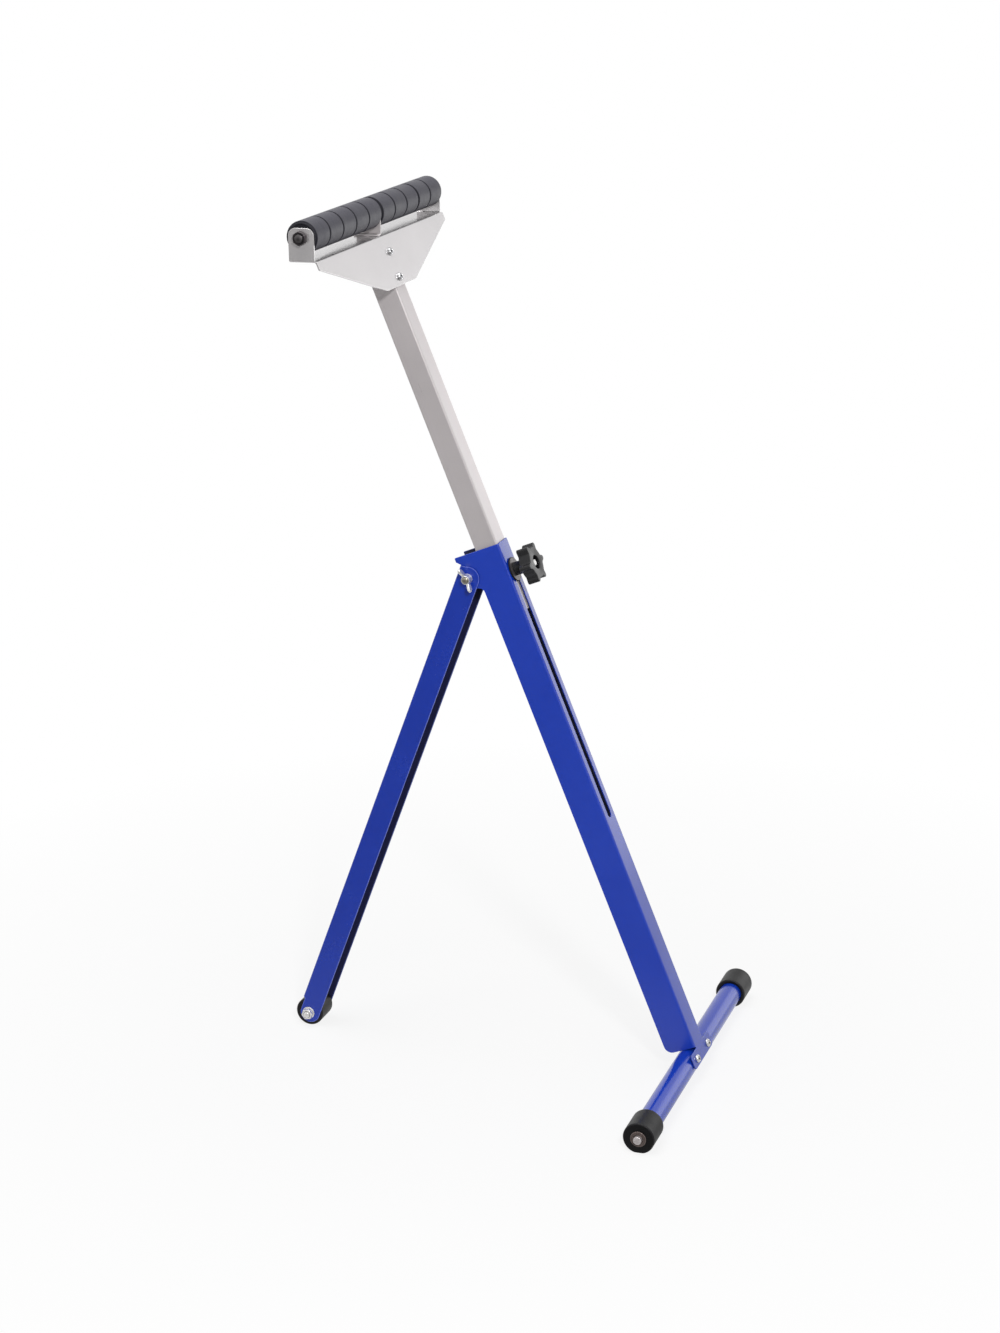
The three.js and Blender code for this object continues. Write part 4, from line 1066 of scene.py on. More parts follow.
@dataclass
class FrontLeg:
    """Leaning channel leg with its slot, pivot ears and screw tab."""

    width: float = 34.4
    depth: float = 39.5
    sheet: float = 1.6
    bend: float = 2.8
    top: float = 719.8
    flange_end: float = 41.0
    flange_corner: float = 10.0
    ear_depth: float = 60.75
    ear_join: float = 673.5
    ear_round: float = 12.35
    pivot: tuple[float, float] = (-52.8, 691.7)
    pivot_hole: float = 4.3
    shelf: float = 11.3
    slot_half: float = 5.8
    slot: tuple[float, float] = (356.8, 682.3)
    foot_up: float = 26.1054
    tab_half: float = 40.5
    tab_above: float = 13.0
    tab_below: float = 6.0
    tab_corner: float = 5.0
    screw_spread: float = 24.0
    screw_rise: float = 2.5
    screw_hole: float = 2.8

    def ear(self) -> Array:
        """Draws the ear in the flange's (x, z): join, tangent, round lug, stop shelf, rear corner.

        Returns:
            The points, from the long flange up to the channel's top.
        """
        px, pz = self.pivot
        dx, dz = -self.depth - px, self.ear_join - pz
        touch = math.degrees(math.atan2(dz, dx) - math.acos(self.ear_round / math.hypot(dx, dz)))
        turn = FRONT_LEAN + REAR_LEAN
        reach = math.sqrt(self.ear_round**2 - self.shelf**2)
        ix = self.shelf * math.sin(turn) - reach * math.cos(turn)
        iz = self.shelf * math.cos(turn) + reach * math.sin(turn)
        stop = math.degrees(math.atan2(iz, ix)) - 360
        rear = pz + iz + (self.ear_depth + px + ix) * math.tan(turn)
        lug = arc(px, pz, self.ear_round, touch, stop, 40)
        return np.concatenate([
            [(-self.depth, self.ear_join)], lug, [(-self.ear_depth, rear), (-self.ear_depth, self.top)]])

    def skin(self) -> Skin:
        """Draws the flat blank and folds it.

        Returns:
            The folded leg in the front leg's own axes.
        """
        half = self.width / 2
        neck = half - self.bend
        low, high = self.foot_up - self.tab_below, self.foot_up + self.tab_above
        fold, base = channel_fold(half, self.bend, self.flange_end - 0.9)
        tab = [(0.0, low), (self.tab_half, low), (self.tab_half, high), (neck, high), (neck, self.flange_end),
               (base + self.depth, self.flange_end)]
        ear = self.ear() * np.array([-1.0, 1.0]) + np.array([base, 0.0])
        corners = np.concatenate([tab, ear, [(0.0, self.top)]])
        radii = np.concatenate([[0, self.tab_corner, self.tab_corner, 0.7, 0.7, self.flange_corner, 7.0],
                                np.zeros(len(ear) - 3), [1.2, 1.2, 0.0]])
        outline, _ = soften(corners, radii, 8, ring=False)
        slot = np.concatenate([arc(0, self.slot[1], self.slot_half, 0, 180, 20),
                               arc(0, self.slot[0], self.slot_half, 180, 360, 20)])
        holes = [slot]
        holes += [arc(side * self.screw_spread, self.foot_up + self.screw_rise, self.screw_hole, 0, 345, 24)
                  for side in (-1, 1)]
        holes += [arc(side * (base - self.pivot[0]), self.pivot[1], self.pivot_hole, 0, 350, 36) for side in (-1, 1)]
        turn = np.linspace(neck, neck + (self.bend - 0.8) * math.pi / 2, 13)
        above = (self.flange_end - 0.5, self.top + 1)
        creases = [(0, turn, above), (0, -turn, above)]
        return Blank(mirrored(outline), holes, self.sheet, creases, fold).skin()

    def build(self, fitter: Fitter) -> None:
        """Fits the leg."""
        fitter.fit("front_leg_channel", [self.skin()], FRONT_SEAT, Body.FRAME.value, Slot.PAINT, "blue_paint",
                   SHEET_SHARP)


@dataclass
class CrossFoot:
    """Tube across the foot of the leg, with moulded caps on a through rod, and the tab screws."""

    tube_radius: float = 14.5
    tube_wall: float = 1.5
    span: float = 474.0
    cap_radius: float = 19.5
    cap_length: float = 41.0
    cap_end: float = 12.0
    cap_flat: float = 1.2
    cap_edge: float = 1.4
    rod_radius: float = 5.0
    rod_proud: float = 4.6
    washer_radius: float = 9.8
    washer: float = 1.5
    fit: float = 0.3
    screw_radius: float = 2.5
    screw_length: float = 10.0
    screw_head: float = 5.2
    screw_rise: float = 3.4
    screw_spread: float = 24.0
    screw_up: float = 2.5

    def cap(self, side: int) -> Skin:
        """Builds a cap: a turned cup whose points under the floor are raised to it, which makes its flat.

        Args:
            side: -1 for the near cap and 1 for the far one.

        Returns:
            The cap about the foot's axis, level with the floor.
        """
        out, bore, rod = self.span / 2, self.tube_radius + self.fit, self.rod_radius + self.fit
        corners = [
            (rod, out - self.cap_end), (bore, out - self.cap_end), (bore, out - self.cap_length),
            (self.cap_radius, out - self.cap_length), (self.cap_radius, out), (rod, out)]
        radii = [0.2, 0.6, 0.8, 1.8, self.cap_edge, 0.3]
        skin = turned([(r, side * y) for r, y in corners], radii, facets=128, steps=6)
        floor = self.cap_flat - self.cap_radius
        skin.points[:, 2] = np.maximum(skin.points[:, 2], floor)
        return skin

    def build(self, fitter: Fitter) -> None:
        """Fits the tube, caps, rod, push-on washers and screws."""
        frame_body = Body.FRAME.value
        level = Seat(0.0, FOOT_SEAT.x, FOOT_SEAT.z)
        half = self.span / 2 - self.cap_end - self.fit
        bore = self.tube_radius - self.tube_wall
        tube = turned([(bore, -half), (self.tube_radius, -half), (self.tube_radius, half), (bore, half)], 0.4,
                      facets=128)
        fitter.fit("foot_tube", [tube], FOOT_SEAT, frame_body, Slot.PAINT, "blue_paint")
        inner = self.span / 2 + self.fit
        end = inner + self.washer + self.rod_proud
        corners = [(0.0, -end), (self.rod_radius, -end), (self.rod_radius, end), (0.0, end)]
        rod = turned(corners, [0.0, 0.7, 0.7, 0.0], ring=False)
        fitter.fit("foot_rod", [rod], FOOT_SEAT, frame_body, Slot.HARDWARE, "cut_steel")
        for side, name in ((-1, "near"), (1, "far")):
            fitter.fit(f"foot_cap_{name}", [self.cap(side)], level, frame_body, Slot.RUBBER, "black_rubber")
            hole = self.rod_radius + self.fit
            ring = [(hole, inner), (self.washer_radius, inner), (self.washer_radius, inner + self.washer),
                    (hole + 1.6, inner + self.washer), (hole + 0.6, inner + 0.5 * self.washer),
                    (hole, inner + 0.5 * self.washer)]
            washer = turned([(r, side * y) for r, y in ring], [0.2, 0.3, 0.5, 0.3, 0.2, 0.1])
            fitter.fit(f"foot_washer_{name}", [washer], FOOT_SEAT, frame_body, Slot.HARDWARE, "brown_steel")
            screw = pan_screw(self.screw_radius, -self.screw_length, self.screw_head, self.screw_rise, 1.5)
            screw.points += np.array([self.fit, side * self.screw_spread, 26.1054 + self.screw_up])
            fitter.fit(f"tab_screw_{name}", [screw], FRONT_SEAT, frame_body, Slot.HARDWARE, "plated_screw")


@dataclass
class Pivot:
    """Bolt, sleeve, washers and wing nut that hinge the rear leg on the front one."""

    leg_half: float = 19.3
    bolt_radius: float = 4.0
    sleeve_radius: float = 6.5
    sleeve_half: float = 15.3
    washer_radius: float = 6.1
    washer: float = 1.5
    fit: float = 0.3
    head_flats: float = 13.0
    head: float = 5.3
    tip: float = 1.5
    hub_radius: float = 6.2
    hub_height: float = 8.0
    wing_reach: float = 16.0
    wing_rise: float = 13.0
    wing_thick: float = 3.8
    wing_turn: float = math.radians(28.8)

    def wing(self, side: int) -> Skin:
        """Builds one wing as a rounded plate.

        Its outline shrinks towards a middle line as |cos v|^0.28 while its face rises as half the
        thickness times |sin v|^0.55, from one face's middle to the other's.

        Args:
            side: 1 for one wing and -1 for the other.

        Returns:
            The wing in the pivot's axes, before its turn.
        """
        base = -self.leg_half - self.fit - self.washer - self.fit
        reach, rise = self.wing_reach, self.wing_rise
        corners = [(2.0, -1.2), (self.hub_radius, -1.2), (reach - 2.2, -4.2), (reach, -rise + 2.6),
                   (reach - 2.4, -rise), (reach - 5.8, -rise + 1.6), (self.hub_radius - 0.6, -7.4), (2.0, -7.0)]
        outline, _ = soften(corners, [0.4, 3.0, 4.0, 2.6, 2.4, 2.6, 3.0, 0.4], 8)
        middle = np.array([9.6, -7.0])
        v = np.linspace(-math.pi / 2, math.pi / 2, 25)[:, None]
        share = np.abs(np.cos(v)) ** 0.28
        share[[0, -1]] = 0.0
        face = np.sign(np.sin(v)) * np.abs(np.sin(v)) ** 0.55 * self.wing_thick / 2
        flat = middle + share[..., None] * (outline[None] - middle)
        rows = np.stack([side * flat[..., 0], base + flat[..., 1], np.broadcast_to(face, flat.shape[:2])], -1)
        edge = np.clip(1.4 * np.abs(np.cos(v[:, 0])) - 0.3, 0.0, 1.0)
        return grid_skin(rows, edge, False)

    def build(self, fitter: Fitter) -> None:
        """Fits the pivot's pieces."""
        out = self.leg_half + self.fit + self.washer
        hole = self.bolt_radius + self.fit
        bolt = hex_bolt(self.head_flats, self.head, self.bolt_radius, out + self.fit,
                        -out - self.fit - self.hub_height - self.tip, 16.0)
        fitter.fit("pivot_bolt", [bolt], PIVOT_SEAT, Body.FRAME.value, Slot.HARDWARE, "passivated_steel")
        sleeve = turned([(hole, -self.sleeve_half), (self.sleeve_radius, -self.sleeve_half),
                         (self.sleeve_radius, self.sleeve_half), (hole, self.sleeve_half)], 0.4)
        fitter.fit("pivot_sleeve", [sleeve], PIVOT_SEAT, Body.FRAME.value, Slot.HARDWARE, "bright_zinc")
        for side, name in ((-1, "near"), (1, "far")):
            ring = [(hole, out - self.washer), (self.washer_radius, out - self.washer), (self.washer_radius, out),
                    (hole, out)]
            washer = turned([(r, side * y) for r, y in ring], 0.3)
            fitter.fit(f"pivot_washer_{name}", [washer], PIVOT_SEAT, Body.FRAME.value, Slot.HARDWARE, "bright_zinc")
        base = -out - self.fit
        bore = self.bolt_radius + 0.15
        hub = turned([(bore, base), (self.hub_radius, base), (self.hub_radius - 0.9, base - self.hub_height),
                      (bore, base - self.hub_height)], [0.3, 0.6, 1.2, 0.4])
        seat = PIVOT_SEAT.turned(math.pi / 2 - self.wing_turn + FRONT_LEAN)
        fitter.fit("wing_nut", [hub, self.wing(1), self.wing(-1)], seat, Body.WING.value, Slot.HARDWARE,
                   "bright_zinc")


@dataclass
class RearLeg:
    """Hinged channel leg with a rubber foot on a cross bolt."""

    width: float = 38.6
    depth: float = 29.1
    sheet: float = 1.6
    bend: float = 2.8
    length: float = 649.76
    head: float = 11.0
    crown: float = 120.0
    shoulder: float = 17.0
    tongue_inset: float = 2.9
    hole: float = 4.3
    foot_radius: float = 18.5
    foot_edge: float = 2.0
    bolt_radius: float = 4.0
    fit: float = 0.3
    washer_radius: float = 8.0
    washer: float = 1.5
    nut_flats: float = 13.0
    nut_height: float = 6.2
    bolt_head: float = 5.3
    bolt_tip: float = 1.5

    def skin(self) -> Skin:
        """Draws the flat blank and folds it, the web to the rear.

        Returns:
            The folded leg in the rear leg's own axes.
        """
        half, across = self.depth / 2, self.width / 2
        low = -self.length
        fold, base = channel_fold(across, self.bend, -1e9)
        side = lambda x: base + x + half
        tongue = arc(self.tongue_inset / 2, low, half - self.tongue_inset / 2, 180, 360, 40)
        crown = arc(0.0, 0.0, half, 0, self.crown, 30)
        to_blank = np.array([base + half, 0.0])
        corners = np.concatenate([
            [(0.0, low + self.shoulder), (side(-half + self.tongue_inset), low + self.shoulder)],
            tongue + to_blank, crown + to_blank, [(across - self.bend, self.head), (0.0, self.head)]])
        radii = np.zeros(len(corners))
        radii[1] = 1.0
        outline, _ = soften(corners, radii, 6, ring=False)
        holes = [arc(s * side(0.0), t, self.hole, 0, 350, 36) for s in (-1, 1) for t in (0.0, low)]
        turn = np.linspace(across - self.bend, across - self.bend + (self.bend - 0.8) * math.pi / 2, 13)
        creases = [(0, turn, (low - 99, 99.0)), (0, -turn, (low - 99, 99.0))]
        skin = Blank(mirrored(outline), holes, self.sheet, creases, fold).skin()
        skin.points[:, 0] = -half - skin.points[:, 0]
        return skin.outward()

    def build(self, fitter: Fitter) -> None:
        """Fits the leg and its foot."""
        leg = Body.LEG.value
        fitter.fit("rear_leg_channel", [self.skin()], LEG_SEAT, leg, Slot.PAINT, "leg_paint", SHEET_SHARP)
        seat = LEG_SEAT.at(0.0, -self.length)
        half = self.width / 2 - self.sheet - self.fit
        bore = self.bolt_radius + self.fit
        foot = turned([(bore, -half), (self.foot_radius, -half), (self.foot_radius, half), (bore, half)],
                      [0.3, self.foot_edge, self.foot_edge, 0.3], facets=128, steps=6)
        fitter.fit("rear_foot", [foot], seat, leg, Slot.RUBBER, "black_rubber")
        face = self.width / 2 + self.fit
        out = face + self.washer
        tip = -out - self.fit - self.nut_height - self.bolt_tip
        bolt = hex_bolt(self.nut_flats, self.bolt_head, self.bolt_radius, face, tip, 14.0)
        fitter.fit("rear_foot_bolt", [bolt], seat, leg, Slot.HARDWARE, "bright_zinc")
        washer = turned([(bore, -out), (self.washer_radius, -out), (self.washer_radius, -face), (bore, -face)], 0.3)
        fitter.fit("rear_foot_washer", [washer], seat, leg, Slot.HARDWARE, "bright_zinc")
        start = -out - self.fit
        hexed = nut(self.nut_flats, self.bolt_radius + 0.15, start, start - self.nut_height)
        fitter.fit("rear_foot_nut", [hexed], seat, leg, Slot.HARDWARE, "bright_zinc")


@dataclass
class SlidingPost:
    """Square tube that slides in the front leg, with its clamp bolt, washer and star knob."""

    size: float = 30.0
    wall: float = 1.5
    corner: float = 2.2
    back: float = 2.3
    low: float = 630.5
    top: float = 1104.505
    clamp: float = 682.0
    bolt_radius: float = 4.0
    bolt_head: float = 8.5
    bolt_rise: float = 4.5
    washer_radius: float = 15.0
    washer: float = 2.0
    fit: float = 0.3
    knob_radius: float = 18.9
    lobe: float = 6.5
    lobe_half: float = 0.5
    lobes: int = 6
    head: float = 15.0
    neck_radius: float = 8.4
    neck: float = 14.0
    bevel: float = 0.9
    recess_radius: float = 8.6
    recess: float = 6.0

    def tube(self) -> Skin:
        """Builds the post: a rounded square whose wall outline (inset, height) runs round it.

        Returns:
            The post in the front leg's own axes.
        """
        half = self.size / 2
        square, _ = soften([(half, -half), (half, half), (-half, half), (-half, -half)], self.corner, 8, guard=0.6)
        ahead = np.roll(square, -1, 0) - square
        ahead /= np.linalg.norm(ahead, axis=1)[:, None]
        normal = np.stack([-ahead[:, 1], ahead[:, 0]], -1)
        behind = np.roll(normal, 1, 0)
        mitre = (normal + behind) / (1 + (normal * behind).sum(1))[:, None]
        wall, edge = soften([(0, self.low), (0, self.top), (self.wall, self.top), (self.wall, self.low)], 0.3, 3,
                            guard=0.5)
        flat = square[None] + wall[:, None, :1] * mitre[None]
        high = np.broadcast_to(wall[:, None, 1:], (*flat.shape[:2], 1))
        rows = np.concatenate([flat, high], -1)
        rows[..., 0] -= self.back + half
        return grid_skin(rows, edge, True)

    def star(self) -> Skin:
        """Builds the knob along X.

        Its outline is the radius plus the lobe times exp(-|sin(n a / 2) / w|^3), which makes narrow
        lobes and broad valleys, drawn in over rounded rims to a round neck behind and a recess in front.

        Returns:
            The knob in the clamp's axes.
        """
        turn = full_turn(240)
        away = np.abs(np.sin(self.lobes * turn / 2)) / self.lobe_half
        outline = self.knob_radius + self.lobe * np.exp(-(away**3))
        start = 2 * self.fit + self.washer
        back, front = start + self.neck, start + self.neck + self.head
        lean = np.radians(np.linspace(0, 90, 6))[:, None]
        rim_in = self.bevel * (1 - np.sin(lean))
        rim_run = self.bevel * (1 - np.cos(lean))
        rear = outline - rim_in
        fore = outline - rim_in[::-1]
        circle = lambda r: np.full((1, 240), float(r))
        radii = np.concatenate([
            circle(self.bolt_radius + 0.15), circle(self.neck_radius - 0.5), circle(self.neck_radius),
            circle(self.neck_radius), circle(self.neck_radius + 0.3), circle(self.neck_radius + 1.2),
            outline - self.bevel - 0.7, rear, fore, outline - self.bevel - 0.7,
            circle(self.recess_radius + 1.0), circle(self.recess_radius + 0.25), circle(self.recess_radius),
            circle(self.recess_radius - 0.3), circle(self.bolt_radius + 0.15)])
        runs = np.concatenate([
            [[start], [start], [start + 0.5], [back - 1.2], [back - 0.3], [back], [back]], back + rim_run,
            front - rim_run[::-1], [[front], [front], [front - 0.25], [front - 0.9], [front - self.recess],
                                    [front - self.recess]]])
        edge = np.concatenate([[0, 1, 1, 0, 0, 0, 0], np.ones(12), [0, 0, 1, 0.6, 0, 0]])
        return grid_skin(along(Axis.X, radii, runs, turn), edge, True)

    def build(self, fitter: Fitter) -> None:
        """Fits the post and its clamp."""
        fitter.fit("inner_post", [self.tube()], FRONT_SEAT, Body.POST.value, Slot.SHEET, "zinc_post")
        seat = -self.back - self.wall - self.fit
        tip = 2 * self.fit + self.washer + self.neck + self.head - 1.5
        turn = full_turn(64)
        run, screw = thread(self.bolt_radius, tip - 14.0, tip - 0.8, turn, 1.25)
        sweep = np.linspace(0.0, 1.0, 12)[:, None]
        dome = seat - self.bolt_rise * np.sqrt(1 - sweep**2)
        radii = np.concatenate([self.bolt_head * sweep + 0 * turn, self.bolt_radius + 0 * turn, screw,
                                0.75 * self.bolt_radius + 0 * turn, 0 * turn])
        runs = np.concatenate([dome, [[seat]], run, [[tip], [tip]]])
        edge = np.concatenate([np.zeros(13), np.full(len(run), 0.3), [0.9, 0.2]])
        bolt = grid_skin(along(Axis.X, radii, runs, turn), edge, False)
        fitter.fit("clamp_bolt", [bolt], CLAMP_SEAT, Body.POST.value, Slot.HARDWARE, "bright_zinc")
        hole = self.bolt_radius + self.fit
        washer = turned([(hole, self.fit), (self.washer_radius, self.fit),
                         (self.washer_radius, self.fit + self.washer), (hole, self.fit + self.washer)], 0.5, Axis.X)
        # The washer's rim is marked for a painted shade.
        washer.inner[:] = np.hypot(washer.points[:, 1], washer.points[:, 2]) > self.washer_radius - 0.4
        fitter.fit("clamp_washer", [washer], CLAMP_SEAT, Body.POST.value, Slot.PLASTIC, "clamp_steel")
        fitter.fit("clamp_knob", [self.star()], CLAMP_SEAT, Body.KNOB.value, Slot.PLASTIC, "black_plastic")


@dataclass
class RollerHead:
    """Folded head with its ears, axle, screws and the loose rollers."""

    sheet: float = 2.0
    width: float = 409.8
    inner_bend: float = 1.0
    plate_bend: float = 3.2
    ear_half: float = 15.55
    ear_above: float = 11.0
    ear_crown: float = 9.0
    floor_under: float = 26.1
    fold_ahead: float = 18.2
    plate_drop: float = 62.3
    plate_side: float = 10.2
    plate_foot: float = 47.0
    screw_upper: float = 20.5
    screw_pitch: float = 31.8
    screw_radius: float = 2.5
    screw_head: float = 5.0
    screw_rise: float = 3.5
    screw_length: float = 10.0
    axle_radius: float = 5.0
    middle_foot: float = 12.0
    fit: float = 0.3
    nut_flats: float = 15.0
    nut_height: float = 6.2
    tip: float = 1.5
    roller_radius: float = 18.9
    roller_edge: float = 1.3
    roller_drop: float = 2.2
    roller_dish: float = 1.2
    rollers: int = 10

    def bracket(self) -> Skin:
        """Folds the head from one blank drawn in (a, b) over the floor.

        Forward of the fold the plate turns down by the lean's complement; past the floor's ends the
        ears turn up by a right angle: y = b0 + (ri - h) sin(v) and z = ri - (ri - h) cos(v).

        Returns:
            The bracket in the axle's axes.
        """
        rear, ear_front, fold_at = -self.ear_half, self.ear_half, self.fold_ahead
        angle = math.pi / 2 - FRONT_LEAN
        outer, inner = self.plate_bend, self.inner_bend
        lap = outer * math.tan(angle / 2)
        bend_at, bend_length = fold_at - lap, (outer - self.sheet / 2) * angle
        plate = lambda down: bend_at + bend_length + down - lap
        ear_at = self.width / 2 - self.sheet - inner
        ear_length = (inner + self.sheet / 2) * math.pi / 2
        ear = lambda up: ear_at + ear_length + up - inner
        top = ear(self.floor_under + self.ear_above)
        split = 0.5 * (ear_front + bend_at)

        def fold(b: Array, a: Array, h: Array) -> Array:
            """Folds points at (b, a) and depth h."""
            turn = np.clip((a - bend_at) / bend_length, 0.0, 1.0) * angle
            run = np.maximum(a - bend_at - bend_length, 0.0)
            x = np.minimum(a, bend_at) + (outer + h) * np.sin(turn) + run * math.cos(angle)
            plate_z = (outer + h) * np.cos(turn) - outer - run * math.sin(angle)
            past = np.where(a < split, np.maximum(np.abs(b) - ear_at, 0.0), 0.0)
            lift = np.minimum(past / ear_length, 1.0) * math.pi / 2
            rise = np.maximum(past - ear_length, 0.0)
            ear_z = inner - (inner - h) * np.cos(lift) + rise
            side = np.minimum(np.abs(b), ear_at) + (inner - h) * np.sin(lift)
            y = np.where(a < split, np.sign(b) * side, b)
            return np.stack([x, y, plate_z + ear_z - h - self.floor_under], -1)

        corners = [(0.0, rear), (top, rear), (top, ear_front), (ear_at, ear_front), (ear_at, bend_at),
                   (self.width / 2, bend_at), (self.width / 2, plate(self.plate_side)),
                   (self.plate_foot, plate(self.plate_drop)), (0.0, plate(self.plate_drop))]
        radii = [0, self.ear_crown, self.ear_crown, 0, 0, 0, 2.0, 3.0, 0]
        half, _ = soften(corners, radii, 12, ring=False)
        holes = [arc(side * ear(self.floor_under), 0.0, self.axle_radius + self.fit, 0, 350, 36) for side in (-1, 1)]
        holes += [arc(0.0, plate(self.screw_upper + k * self.screw_pitch), self.screw_radius + self.fit, 0, 345, 24)
                  for k in (0, 1)]
        ears = np.linspace(ear_at, ear_at + ear_length, 13)
        behind, across = (rear - 1, ear_front + 0.1), (-self.width, self.width)
        creases = [(0, ears, behind), (0, -ears, behind),
                   (1, np.linspace(bend_at, bend_at + bend_length, 11), across)]
        return Blank(mirrored(half), holes, self.sheet, creases, fold, guard=0.4).skin()

    def middle(self) -> Skin:
        """Folds the middle ear: a foot along the floor, a right angle of bend, and an upright ear.

        Returns:
            The ear in the axle's axes.
        """
        outer = self.inner_bend + self.sheet
        length = (outer - self.sheet / 2) * math.pi / 2
        up = lambda z: length + z + self.floor_under - outer
        foot = outer - self.middle_foot

        def fold(a: Array, b: Array, h: Array) -> Array:
            """Folds points at (a, b) and depth h."""
            turn = np.clip(b / length, 0.0, 1.0) * math.pi / 2
            rise = np.maximum(b - length, 0.0)
            y = self.sheet / 2 - outer + np.minimum(b, 0.0) + (outer + h) * np.sin(turn)
            z = outer - (outer + h) * np.cos(turn) + rise - self.floor_under
            return np.stack([a, y, z + self.fit], -1)

        corners = [(0.0, foot), (self.ear_half, foot), (self.ear_half, up(self.ear_above)), (0.0, up(self.ear_above))]
        half, _ = soften(corners, [0, 1.5, self.ear_crown, 0], 12, ring=False)
        hole = arc(0.0, up(0.0), self.axle_radius + self.fit, 0, 350, 36)
        creases = [(1, np.linspace(0.0, length, 13), (-99.0, 99.0))]
        return Blank(mirrored(half), [hole], self.sheet, creases, fold).skin()

    def roller(self, start: float, stop: float) -> Skin:
        """Turns one roller, its ends dished by a shallow ring round the bore.

        Args:
            start: run of its near end.
            stop: run of its far end.

        Returns:
            The roller in the axle's axes.
        """
        bore, rim = self.axle_radius + self.fit, self.roller_radius
        dish, edge, drop = self.roller_dish, self.roller_edge, self.roller_drop
        half = [(bore, 0.0), (bore + 3.2, 0.0), (bore + 4.0, dish), (rim - drop - 2.0, dish), (rim - drop - 1.2, 0.0),
                (rim - drop, 0.0), (rim, edge)]
        corners = [(r, start + run) for r, run in half] + [(r, stop - run) for r, run in half[::-1]]
        radii = [0.3, 0.3, 0.3, 0.3, 0.3, 0.5, 0.5]
        radii += radii[::-1]
        skin = turned(corners, radii, facets=128, steps=4)
        # The chamfered ends are marked for a painted shade in the gaps between rollers.
        skin.inner[:] = np.abs(skin.points[:, 1] - (start + stop) / 2) > (stop - start) / 2 - edge - 0.4
        return skin

    def build(self, fitter: Fitter) -> None:
        """Fits the head, its axle and the rollers."""
        post = Body.POST.value
        fitter.fit("head_bracket", [self.bracket()], AXLE_SEAT, post, Slot.SHEET, "zinc_head", SHEET_SHARP)
        fitter.fit("head_middle_ear", [self.middle()], AXLE_SEAT, post, Slot.SHEET, "zinc_post", SHEET_SHARP)
        fold_up = (AXLE_SEAT.z - self.floor_under) / math.cos(FRONT_LEAN)
        for k, name in enumerate(("upper", "lower")):
            screw = pan_screw(self.screw_radius, -self.screw_length, self.screw_head, self.screw_rise, 1.3)
            screw.points += np.array([self.fit, 0.0, fold_up - self.screw_upper - k * self.screw_pitch])
            fitter.fit(f"head_screw_{name}", [screw], FRONT_SEAT, post, Slot.HARDWARE, "plated_screw")
        end = self.width / 2 + self.fit + self.nut_height + self.tip
        axle = stud(Axis.Y, self.axle_radius, -end, end, 14.0)
        fitter.fit("axle_rod", [axle], AXLE_SEAT, post, Slot.HARDWARE, "dull_steel")
        start = self.width / 2 + self.fit
        for side, name in ((-1, "near"), (1, "far")):
            hexed = nut(self.nut_flats, self.axle_radius + 0.15, side * start, side * (start + self.nut_height))
            fitter.fit(f"axle_nut_{name}", [hexed], AXLE_SEAT, post, Slot.DARK, "black_oxide")
        for k in range(1, self.rollers + 1):
            node = f"roller_{k:02d}"
            low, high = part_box(node)
            skin = self.roller(low[1] / MM, high[1] / MM)
            fitter.fit(node, [skin], AXLE_SEAT, node, Slot.ROLLER, "roller_plastic")


@dataclass(frozen=True)
class SoftBox:
    """A soft lamp: where it hangs, what it aims at, its width and height in metres, and its power."""

    name: str
    place: tuple[float, float, float]
    aim: tuple[float, float, float]
    size: tuple[float, float]
    power: float


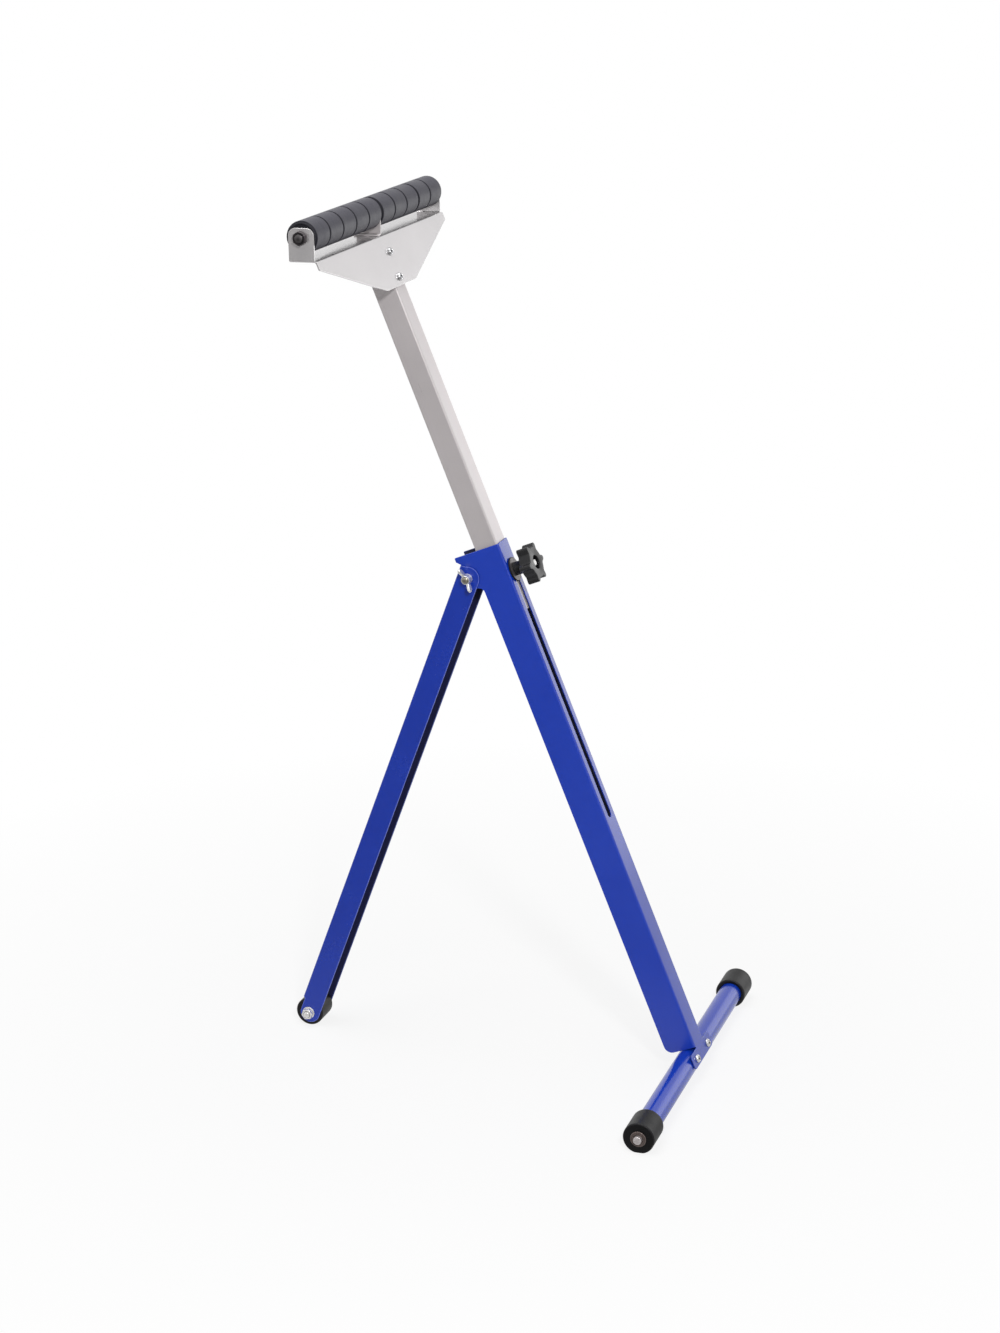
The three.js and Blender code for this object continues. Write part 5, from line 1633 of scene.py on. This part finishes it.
@dataclass
class Studio:
    """Pale floor, soft lights and the camera."""

    camera: tuple[float, float, float] = (1.0719, -3.0304, 1.5106)
    azimuth: float = 19.3
    elevation: float = 17.32
    roll: float = -1.07
    focal: float = 2732.39
    image: tuple[int, int] = (1000, 1333)
    sensor: float = 36.0
    floor_half: float = 30.0
    floor_tone: float = 0.86
    floor_glow: tuple[float, float] = (0.84, 1.0)
    glow_reach: tuple[float, float] = (0.35, 1.2)
    dark_side: tuple[float, float] = (-0.35, 0.05)
    dark_share: float = 0.3
    dim_far: tuple[float, float] = (0.9, 2.6)
    dim_share: float = 0.9
    air: float = 0.24
    boxes: tuple[SoftBox, ...] = (
        SoftBox("top", (-0.4, -0.2, 2.9), (0.0, 0.0, 0.5), (1.7, 1.7), 38.0),
        SoftBox("right", (1.25, 2.35, 0.62), (0.05, 0.0, 0.2), (1.7, 1.2), 6.5),
        SoftBox("front", (1.6, -2.6, 2.4), (0.0, 0.0, 0.5), (0.35, 0.35), 60.0),
    )

    def build(self) -> None:
        """Builds the floor, the lights and the camera."""
        self._floor()
        self._lights()
        self._camera()
        bpy.context.scene.view_settings.view_transform = "Standard"

    @staticmethod
    def _looked_at(g: Graph, mirrored_share: object) -> bpy.types.NodeSocket:
        """Gives 1 for rays from the camera and a share for those that come by way of metal or glass."""
        path = g.add("LightPath")
        bounced = g.maths("MAXIMUM", path.outputs["Is Glossy Ray"], path.outputs["Is Transmission Ray"])
        return g.maths("MAXIMUM", path.outputs["Is Camera Ray"], g.maths("MULTIPLY", bounced, mirrored_share))

    def _floor(self) -> None:
        """Lays the floor: it takes the shadows near the stand and fades into the white behind."""
        half = self.floor_half
        s = np.linspace(-1.0, 1.0, 9) * half
        x, y = np.meshgrid(s, s)
        points = np.stack([x, y, 0 * x], -1).reshape(-1, 3)
        i, j = np.arange(8)[:, None], np.arange(8)
        faces = np.stack([i * 9 + j, i * 9 + j + 1, (i + 1) * 9 + j + 1, (i + 1) * 9 + j], -1).reshape(-1, 4)
        mesh = bpy.data.meshes.new("studio_floor")
        mesh.from_pydata(points.tolist(), [], faces.tolist())
        made = bpy.data.materials.new("studio_white")
        made.use_nodes = True
        made.node_tree.nodes.clear()
        g = Graph(made.node_tree)
        diffuse = g.feed(g.add("BsdfDiffuse"), Color=(*(self.floor_tone,) * 3, 1.0))
        glow = g.feed(g.add("Emission"), Color=(1.0, 1.0, 1.0, 1.0))
        spot = g.add("TexCoord").outputs["Object"]
        away = g.add("VectorMath", operation="LENGTH")
        g.tree.links.new(spot, away.inputs[0])
        fade = g.span(away.outputs["Value"], *self.glow_reach, *self.floor_glow)
        depth = g.add("SeparateXYZ")
        g.tree.links.new(spot, depth.inputs[0])
        near = g.span(depth.outputs[1], *self.dark_side, self.dark_share, 1.0)
        behind = g.maths("MULTIPLY", near, g.span(depth.outputs[1], *self.dim_far, 1.0, self.dim_share))
        g.feed(glow, Strength=self._looked_at(g, behind))
        mix = g.add("MixShader")
        g.tree.links.new(g.maths("MULTIPLY", self._looked_at(g, 1.0), fade), mix.inputs[0])
        g.tree.links.new(diffuse.outputs[0], mix.inputs[1])
        g.tree.links.new(glow.outputs[0], mix.inputs[2])
        out = g.add("OutputMaterial")
        g.tree.links.new(mix.outputs[0], out.inputs[0])
        mesh.materials.append(made)
        floor = bpy.data.objects.new("studio_floor", mesh)
        bpy.context.scene.collection.objects.link(floor)

    def _lights(self) -> None:
        """Hangs the soft boxes and sets the surrounding light."""
        for box in self.boxes:
            lamp = bpy.data.lights.new("soft_" + box.name, "AREA")
            lamp.shape = "RECTANGLE"
            lamp.size, lamp.size_y = box.size
            lamp.energy = box.power
            holder = bpy.data.objects.new("soft_" + box.name, lamp)
            back = np.array(box.place) - np.array(box.aim)
            holder.matrix_world = self._facing(back / np.linalg.norm(back), box.place)
            holder.visible_camera = False
            bpy.context.scene.collection.objects.link(holder)
        world = bpy.data.worlds.new("studio_air")
        bpy.context.scene.world = world
        world.use_nodes = True
        world.node_tree.nodes.clear()
        g = Graph(world.node_tree)
        strength = g.span(self._looked_at(g, 1.0), 0.0, 1.0, self.air, 1.0)
        air = g.feed(g.add("Background"), Color=(1.0, 1.0, 1.0, 1.0), Strength=strength)
        out = g.add("OutputWorld")
        g.tree.links.new(air.outputs[0], out.inputs[0])

    @staticmethod
    def _facing(back: Array, place: tuple[float, float, float]) -> Matrix:
        """Gives the matrix of something at a place that looks against a unit back vector."""
        right = np.cross([0.0, 0.0, 1.0], back)
        right /= np.linalg.norm(right)
        up = np.cross(back, right)
        return Matrix([[right[k], up[k], back[k], place[k]] for k in range(3)] + [[0.0, 0.0, 0.0, 1.0]])

    def _camera(self) -> None:
        """Sets the camera from its fitted place, angles and focal length in pixels."""
        a, e, r = (math.radians(v) for v in (self.azimuth, self.elevation, self.roll))
        right = np.array([math.cos(a), math.sin(a), 0.0])
        back = np.array([math.sin(a) * math.cos(e), -math.cos(a) * math.cos(e), math.sin(e)])
        up = np.cross(back, right)
        across = math.cos(r) * right + math.sin(r) * up
        upward = math.cos(r) * up - math.sin(r) * right
        lens = bpy.data.cameras.new("studio_camera")
        lens.sensor_width = self.sensor
        lens.lens = self.sensor * self.focal / max(self.image)
        lens.clip_end = 200.0
        camera = bpy.data.objects.new("studio_camera", lens)
        rows = [[across[k], upward[k], back[k], self.camera[k]] for k in range(3)]
        camera.matrix_world = Matrix(rows + [[0.0, 0.0, 0.0, 1.0]])
        bpy.context.scene.collection.objects.link(camera)
        bpy.context.scene.camera = camera


def main() -> None:
    """Builds the studio and every sub-assembly."""
    logging.basicConfig(level=logging.INFO, format="%(name)s %(message)s")
    Studio().build()
    fitter = Fitter()
    for assembly in (FrontLeg(), CrossFoot(), Pivot(), RearLeg(), SlidingPost(), RollerHead()):
        LOG.info("building %s", type(assembly).__name__)
        assembly.build(fitter)


if __name__ == "__main__":
    main()
